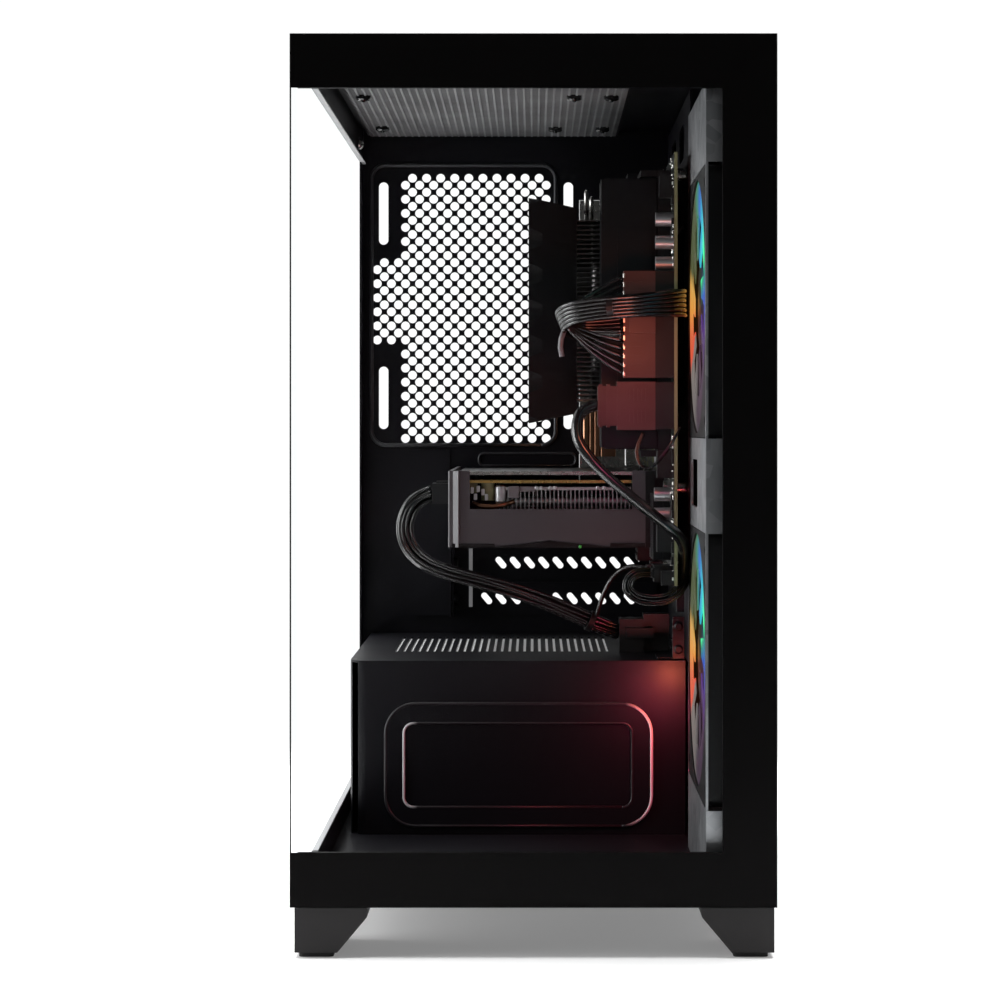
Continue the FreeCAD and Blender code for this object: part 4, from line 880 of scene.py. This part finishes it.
outer_edge = Heap()
outer_edge.tube(loop(-74.0, 59.0, 29.5, 90.6, 15.0, cover_front), 0.85 * MM)
outer_edge.make("cover_outline", lit_edge("outer_press", 0.046, 0.058), smooth=True)
inner_edge = Heap()
inner_edge.tube(loop(-65.0, 49.4, 38.8, 80.9, 5.0, cover_front), 0.75 * MM)
inner_edge.make("cover_inline", lit_edge("inner_press", -0.058, -0.064), smooth=True)
print("rails, two rear beads and two cover beads")

# %% [markdown]
# ## The roof's mesh
# The roof breathes through a fine pressed mesh. Ribs run from front to back with thin wires across
# them. They are modelled as real bars, because the camera looks up at them from a low angle and
# sees their edges light up one by one.

# %% Roof mesh and filter magnets
roof_low, roof_high = span("top_filter")
under_roof = span("top_panel")[1][2] - 4.0
grille = Heap()
RIB_PITCH = 3.75
WIRE_PITCH = 2.7
x = roof_low[0] + 1.5
while x < roof_high[0]:
    grille.box((x - 0.5, roof_low[1], under_roof - 0.9), (x + 0.5, roof_high[1], under_roof - 0.1))
    x += RIB_PITCH
y = roof_low[1]
while y < roof_high[1]:
    grille.box((roof_low[0], y, under_roof - 0.6), (roof_high[0], y + 0.9, under_roof - 0.15))
    y += WIRE_PITCH
grille.make("roof_mesh", mesh_steel)
MAGNET = [(0, 3.8), (2.2, 3.8), (2.8, 3.0), (2.8, 1.2), (3.6, 0.9)]
magnets = Heap()
for place in ((20.3, -8.0), (38.8, -7.0), (-84.7, -8.0), (-83.0, 121.0), (12.0, 124.0), (38.0, 124.0)):
    magnets.lathe((*place, under_roof), (0, 0, -1), MAGNET, 18)
magnets.make("filter_magnets", key_plastic, smooth=False)
print(len(grille.faces) // 6, "ribs and wires")

# %% [markdown]
# ## Small parts on the boards
# A board's face is crowded with parts no bigger than a grain of rice. Each is a box of a size
# drawn from a seeded list, so that every run gives the same board, and the places where large
# parts stand are left free.

# %% Grains on the motherboard
KEEP_OUT = [
    (34, 98, 256, 322), (-33, 3, 212, 357), (32, 125, 152, 166), (32, 125, 195, 207), (145, 168, 200, 360),
    (20, 113, 345, 360), (124, 146, 234, 340), (46, 134, 206, 231), (-33, 2, 163, 197), (8, 34, 206, 231),
    (-58, -47, 225, 305), (103, 122, 236, 334),
]
GRAINS = 240
BOX_FACES = 14
random.seed(7)
board_face = span("motherboard_pcb")[0][0]
chips = Heap()
grains = Heap()
while len(grains.faces) < GRAINS * BOX_FACES:
    y = random.uniform(-57.0, 165.0)
    if random.random() < 0.35:
        y = random.uniform(-57.4, -44.0)
    z = random.uniform(154.0, 359.0)
    if any(y0 < y < y1 and z0 < z < z1 for y0, y1, z0, z1 in KEEP_OUT):
        continue
    big = random.random() < 0.08
    if big:
        wide, tall = random.uniform(3.0, 7.0), random.uniform(3.0, 7.0)
    else:
        wide, tall = random.uniform(0.6, 1.7), 0.8
    if random.random() < 0.5:
        wide, tall = tall, wide
    wide = min(wide, 2 * (y + 57.6))
    heap = chips if big else grains
    high = 1.3 if big else random.uniform(0.4, 1.1)
    heap.box((board_face - high, y - wide / 2, z - tall / 2), (board_face, y + wide / 2, z + tall / 2), 0.1)
grains.make("board_grains", nickel)
chips.make("board_chips", moulded)
print(len(grains.faces) // BOX_FACES, "grains and", len(chips.faces) // BOX_FACES, "chips")

# %% Port stack, pipe ends and plug crimps
port_stack = Heap()
for x0, x1 in ((27.9, 30.9), (31.3, 33.6), (34.0, 37.2), (37.6, 46.0)):
    port_stack.box((x0, 146.0, 212.5), (x1, 165.5, 239.0), 0.5)
port_stack.make("port_shells", copper)
pipe_ends = Heap()
for px, py, top in ((27.6, 52.0, 353.0), (30.4, 57.0, 350.0)):
    pipe_ends.lathe((px, py, 334.0), (0, 0, 1),
                    [(0, 1.2), (top - 336.0, 1.2), (top - 334.6, 0.9), (top - 334.0, 0.3)], 14)
pipe_ends.make("heat_pipe_ends", nickel, smooth=True)
crimps = Heap()
plug_low = span("atx_plug")[0]
for i in range(12):
    z = 254.6 + 4.25 * i
    crimps.box((plug_low[0] - 0.3, plug_low[1] + 1.2, z - 1.1),
               (plug_low[0] + 0.6, plug_low[1] + 1.7, z + 1.1), 0.1)
crimps.make("plug_crimps", nickel)
tie_tail = Heap()
tie_tail.tube([Vector(p) * MM for p in ((14.6, -61.6, 275.0), (13.2, -62.0, 271.0), (12.8, -62.2, 267.0),
                                        (13.6, -62.0, 262.5))], 1.3 * MM, 6)
tie_tail.make("tie_tail", corner_trim, smooth=True)
print("port stack, pipe ends, crimps and the tie's tail made")

# %% [markdown]
# ## The graphics card's open end
# The card's cover is cut away at the front, and its insides show: the backplate's bright edge, the
# circuit board with its cut edge, a can and a coil, the fins and the pipe across them. A slanted
# trim runs down the cover's left corner, and a shallow V is notched in its lower lip over a band of painted
# shadow.

# %% Card details
card_low, card_high = span("gpu_shroud")
front_y = card_low[1] + 0.4


def prism(heap, outline, low, high, axis):
    """A solid of one outline between two levels; axis 1 stands it along Y, axis 2 along Z."""
    n = len(outline)
    points = []
    for level in (low, high):
        for u, v in outline:
            points.append(Vector((u, level, v) if axis == 1 else (u, v, level)) * MM)
    faces = [tuple(range(n)), tuple(range(2 * n - 1, n - 1, -1))]
    faces += [(i, i + n, (i + 1) % n + n, (i + 1) % n) for i in range(n)]
    heap.add(points, faces)


trim = Heap()
prism(trim, [(-43.6, 25.6), (-38.4, 22.2), (-38.0, 24.0)], card_low[2] + 0.1, card_high[2] - 0.2, 2)
trim.make("card_trim", corner_trim)
lip = Heap()
# The outline fills the band under the V down to a straight lower edge: that band is painted shadow below the
# V, made as matt black geometry.
prism(lip, [(-41.8, 167.4), (57.0, 167.4), (57.0, 169.7), (39.3, 169.7), (39.0, 167.9), (9.5, 170.7),
            (-19.7, 167.9), (-20.0, 169.4), (-41.8, 169.4)], front_y - 1.2, front_y - 0.1, 1)
lip.box((57.2, front_y - 1.0, card_low[2]), (62.0, front_y - 0.2, card_high[2] - 0.2))
lip.make("card_lip_and_painted_shadow", matt_black)
edges = Heap()
edges.box((-37.5, 26.2, 204.5), (55.0, 26.9, 206.2))
edges.make("backplate_edge", nickel)
board_edge = Heap()
board_edge.box((-33.4, 29.3, 200.3), (50.0, 29.9, 201.7))
board_edge.make("card_board_edge", gold)
innards = Heap()
innards.lathe((-17.0, 31.0, 190.6), (0, 0, 1), [(0, 2.6), (0.4, 2.9), (7.6, 2.9), (8.2, 2.5), (8.4, 1.0)], 20)
for bx, bz in ((-31.5, 196.5), (-28.4, 197.2), (-26.0, 195.6), (-29.8, 193.2), (-24.2, 193.0)):
    innards.box((bx - 0.9, 28.6, bz - 1.6), (bx + 0.9, 30.0, bz + 1.6), 0.3)
for bx in (1.6, 4.0, 8.6, 11.2, 33.0, 36.4):
    innards.box((bx - 0.9, 28.4, 197.2), (bx + 0.9, 29.8, 198.6), 0.3)
innards.make("card_innards", can_metal)
pad = Heap()
pad.box((-12.8, 28.6, 192.6), (-7.4, 33.0, 198.6), 0.3)
pad.box((-7.2, 29.2, 195.8), (1.0, 33.0, 198.4), 0.3)
pad.make("card_pad", corner_trim)
bend = Heap()
bend.tube([Vector(p) * MM for p in ((-31.5, 30.0, 190.0), (-27.0, 28.8, 188.4), (-21.0, 28.2, 188.2),
                                    (-15.0, 28.8, 189.0), (-10.0, 30.4, 190.8))], 1.25 * MM, 12)
bend.make("card_pipe", copper, smooth=True)
outputs = Heap()
for x0 in (-21.0, 1.0, 23.0):
    outputs.box((x0, 151.0, 186.4), (x0 + 18.0, 166.4, 199.8), 0.4)
outputs.make("card_outputs", nickel)
status = Finish("status_lamp", (0.02, 0.08, 0.03), 0.4, Emission_Strength=0.4)
status.set("Emission Color", status.mix(status.noise(900.0), (0.02, 0.20, 0.02), (0.10, 0.60, 0.08)))
led = Heap()
led.lathe((23.8, front_y - 1.3, 167.9), (0, -1, 0), [(0, 0.8), (0.3, 0.7), (0.6, 0.4)], 14)
led.make("card_status_lamp", status, smooth=True)
print("card spans", [round(b - a, 1) for a, b in zip(card_low, card_high)], "mm")

# %% [markdown]
# ## Loose ends by the board's lower edge
# The case's front wires loop once before they reach their pins, next to a yellow connector. The
# side fans' lead has its own small plug. Behind them the tray ends in folded tabs with screws. A
# blank pale plate lies on the power supply and glows, a painted light that makes the cover's vents look lit.

# %% Loops, small plugs and tabs
LOOP_LEAD = [
    (58.6, -44.5, 158.4), (52.0, -46.5, 159.6), (46.4, -48.0, 156.5), (45.0, -49.0, 151.0),
    (49.5, -50.0, 146.8), (56.5, -50.5, 145.2), (64.0, -50.5, 146.0), (70.0, -49.5, 149.8),
    (73.2, -46.0, 154.6), (73.6, -39.0, 157.6),
]


def loop_spots(i, t):
    if i is None:
        return 5
    return ((i - 2) * blend(0.9, 1.5, 1.0 - abs(2 * t - 1)), 0.5 * math.sin(2.1 * i + 5.0 * t))


loop_lead, loop_line, loop_length = wires("loop_lead", LOOP_LEAD, loop_spots, 0.5, (0, 0, 1))
yellow = Finish("yellow_plastic", (0.72, 0.42, 0.03), 0.4)
yellow.set("Roughness", 0.34 + yellow.noise(200.0) * 0.2)
socket = Heap()
socket.box((63.6, -51.5, 152.8), (67.2, -47.2, 158.6), 0.4)
socket.make("yellow_socket", yellow)
small_plugs = Heap()
small_plugs.box((57.4, 22.0, 154.2), (60.7, 29.4, 158.8), 0.4)
small_plugs.box((56.6, -46.0, 156.0), (58.3, -34.0, 161.0), 0.3)
small_plugs.make("small_plugs", moulded)
tabs = Heap()
tabs.box((69.6, -1.0, 113.0), (75.6, 0.2, 134.0), 0.2)
tabs.box((62.0, 2.0, 112.3), (75.6, 22.0, 113.2), 0.2)
tabs.box((71.8, 3.0, 136.0), (75.8, 4.0, 152.0), 0.2)
for sx, sz in ((72.6, 129.0), (72.6, 117.5)):
    tabs.lathe((sx, -1.0, sz), (0, -1, 0), [(0, 2.3), (0.8, 2.3), (1.4, 1.5)], 16)
tabs.make("tray_tabs", powder)
# Painted glow: the pale plate emits light so that the cover's vents look lit from below.
supply_plate_painted_glow = Finish("supply_plate_painted_glow", (0.75, 0.75, 0.74), 0.5, Emission_Strength=0.30)
supply_plate_painted_glow.set("Emission Color", supply_plate_painted_glow.mix(supply_plate_painted_glow.noise(18.0),
                                                    (0.6, 0.6, 0.6), (0.9, 0.9, 0.9)))
label = Heap()
supply_top = span("psu_case")[1][2]
label.box((-76.0, 44.0, supply_top + 0.02), (46.0, 146.0, supply_top + 0.14))
label.make("supply_plate", supply_plate_painted_glow)
print("loose ends, small plugs and tabs made")

# %% [markdown]
# ## Stage and light
# The case stands on a white table that fades into a white room. The room is bright behind the
# case and dim in front of it, so the vents glow, and the glass has nothing to mirror. A soft lamp
# overhead picks out the vented roof, and one at the left reaches in through the side glass. Four
# tiny lamps stand for the fans' coloured light where it falls on the tray's edge and the plugs.

# %% Room and table
world = bpy.data.worlds.new("room")
bpy.context.scene.world = world
world.use_nodes = True
room = world.node_tree
direction = room.nodes.new("ShaderNodeTexCoord")
apart = room.nodes.new("ShaderNodeSeparateXYZ")
room.links.new(direction.outputs["Generated"], apart.inputs[0])
shade = room.nodes.new("ShaderNodeMapRange")
shade.inputs[1].default_value = -0.15
shade.inputs[2].default_value = 0.55
shade.inputs[3].default_value = 0.10
shade.inputs[4].default_value = 1.05
room.links.new(apart.outputs["Y"], shade.inputs[0])
room.links.new(shade.outputs[0], room.nodes["Background"].inputs["Strength"])
room.nodes["Background"].inputs["Color"].default_value = (1.0, 1.0, 1.0, 1.0)

table_finish = Finish("white_table", (0.86, 0.86, 0.86), 0.7)
table_x, table_y = table_finish.split(table_finish.place())[:2]
away = table_finish.node("ShaderNodeMath", {"operation": "SQRT"}, {0: table_x * table_x + table_y * table_y})
fade = table_finish.node("ShaderNodeMapRange", {"clamp": True, "interpolation_type": "SMOOTHSTEP"},
                         {0: away, 1: 0.28, 2: 0.62, 3: 1.0, 4: 0.0})
table_finish.set("Alpha", fade)
table_finish.set("Emission Color", (1.0, 1.0, 1.0))
table_finish.set("Emission Strength", 0.2)
TABLE = 0.75
table_mesh = bpy.data.meshes.new("table")
table_mesh.from_pydata([(-TABLE, -TABLE, 0), (TABLE, -TABLE, 0), (TABLE, TABLE, 0), (-TABLE, TABLE, 0)], [],
                       [(0, 1, 2, 3)])
table_mesh.materials.append(table_finish.material)
table = bpy.data.objects.new("table", table_mesh)
bpy.context.scene.collection.objects.link(table)


def lamp(name, place, aim, size, power, color=(1.0, 1.0, 1.0)):
    """A soft square lamp that points at a place."""
    data = bpy.data.lights.new(name, "AREA")
    data.size = size
    data.energy = power
    data.color = color
    made = bpy.data.objects.new(name, data)
    made.location = place
    made.rotation_euler = (Vector(aim) - Vector(place)).to_track_quat("-Z", "Y").to_euler()
    bpy.context.scene.collection.objects.link(made)
    return made


lamp("overhead", (0.0, 0.1, 1.5), (0.0, 0.0, 0.0), 1.2, 60.0)
lamp("left", (-1.2, -0.15, 0.45), (0.0, 0.0, 0.22), 0.9, 14.0)
lamp("glow_warm", (0.070, -0.028, 0.103), (0.064, 0.0, 0.099), 0.008, 0.018, (1.0, 0.20, 0.08))
lamp("glow_rose", (0.066, -0.055, 0.094), (0.044, 0.0, 0.086), 0.014, 0.030, (1.0, 0.07, 0.20))
lamp("glow_plugs", (0.045, -0.130, 0.272), (0.050, -0.055, 0.264), 0.020, 0.016, (1.0, 0.22, 0.12))
lamp("glow_violet", (0.045, -0.130, 0.236), (0.046, -0.055, 0.237), 0.020, 0.005, (1.0, 0.08, 0.30))
print("room, table and six lamps ready")
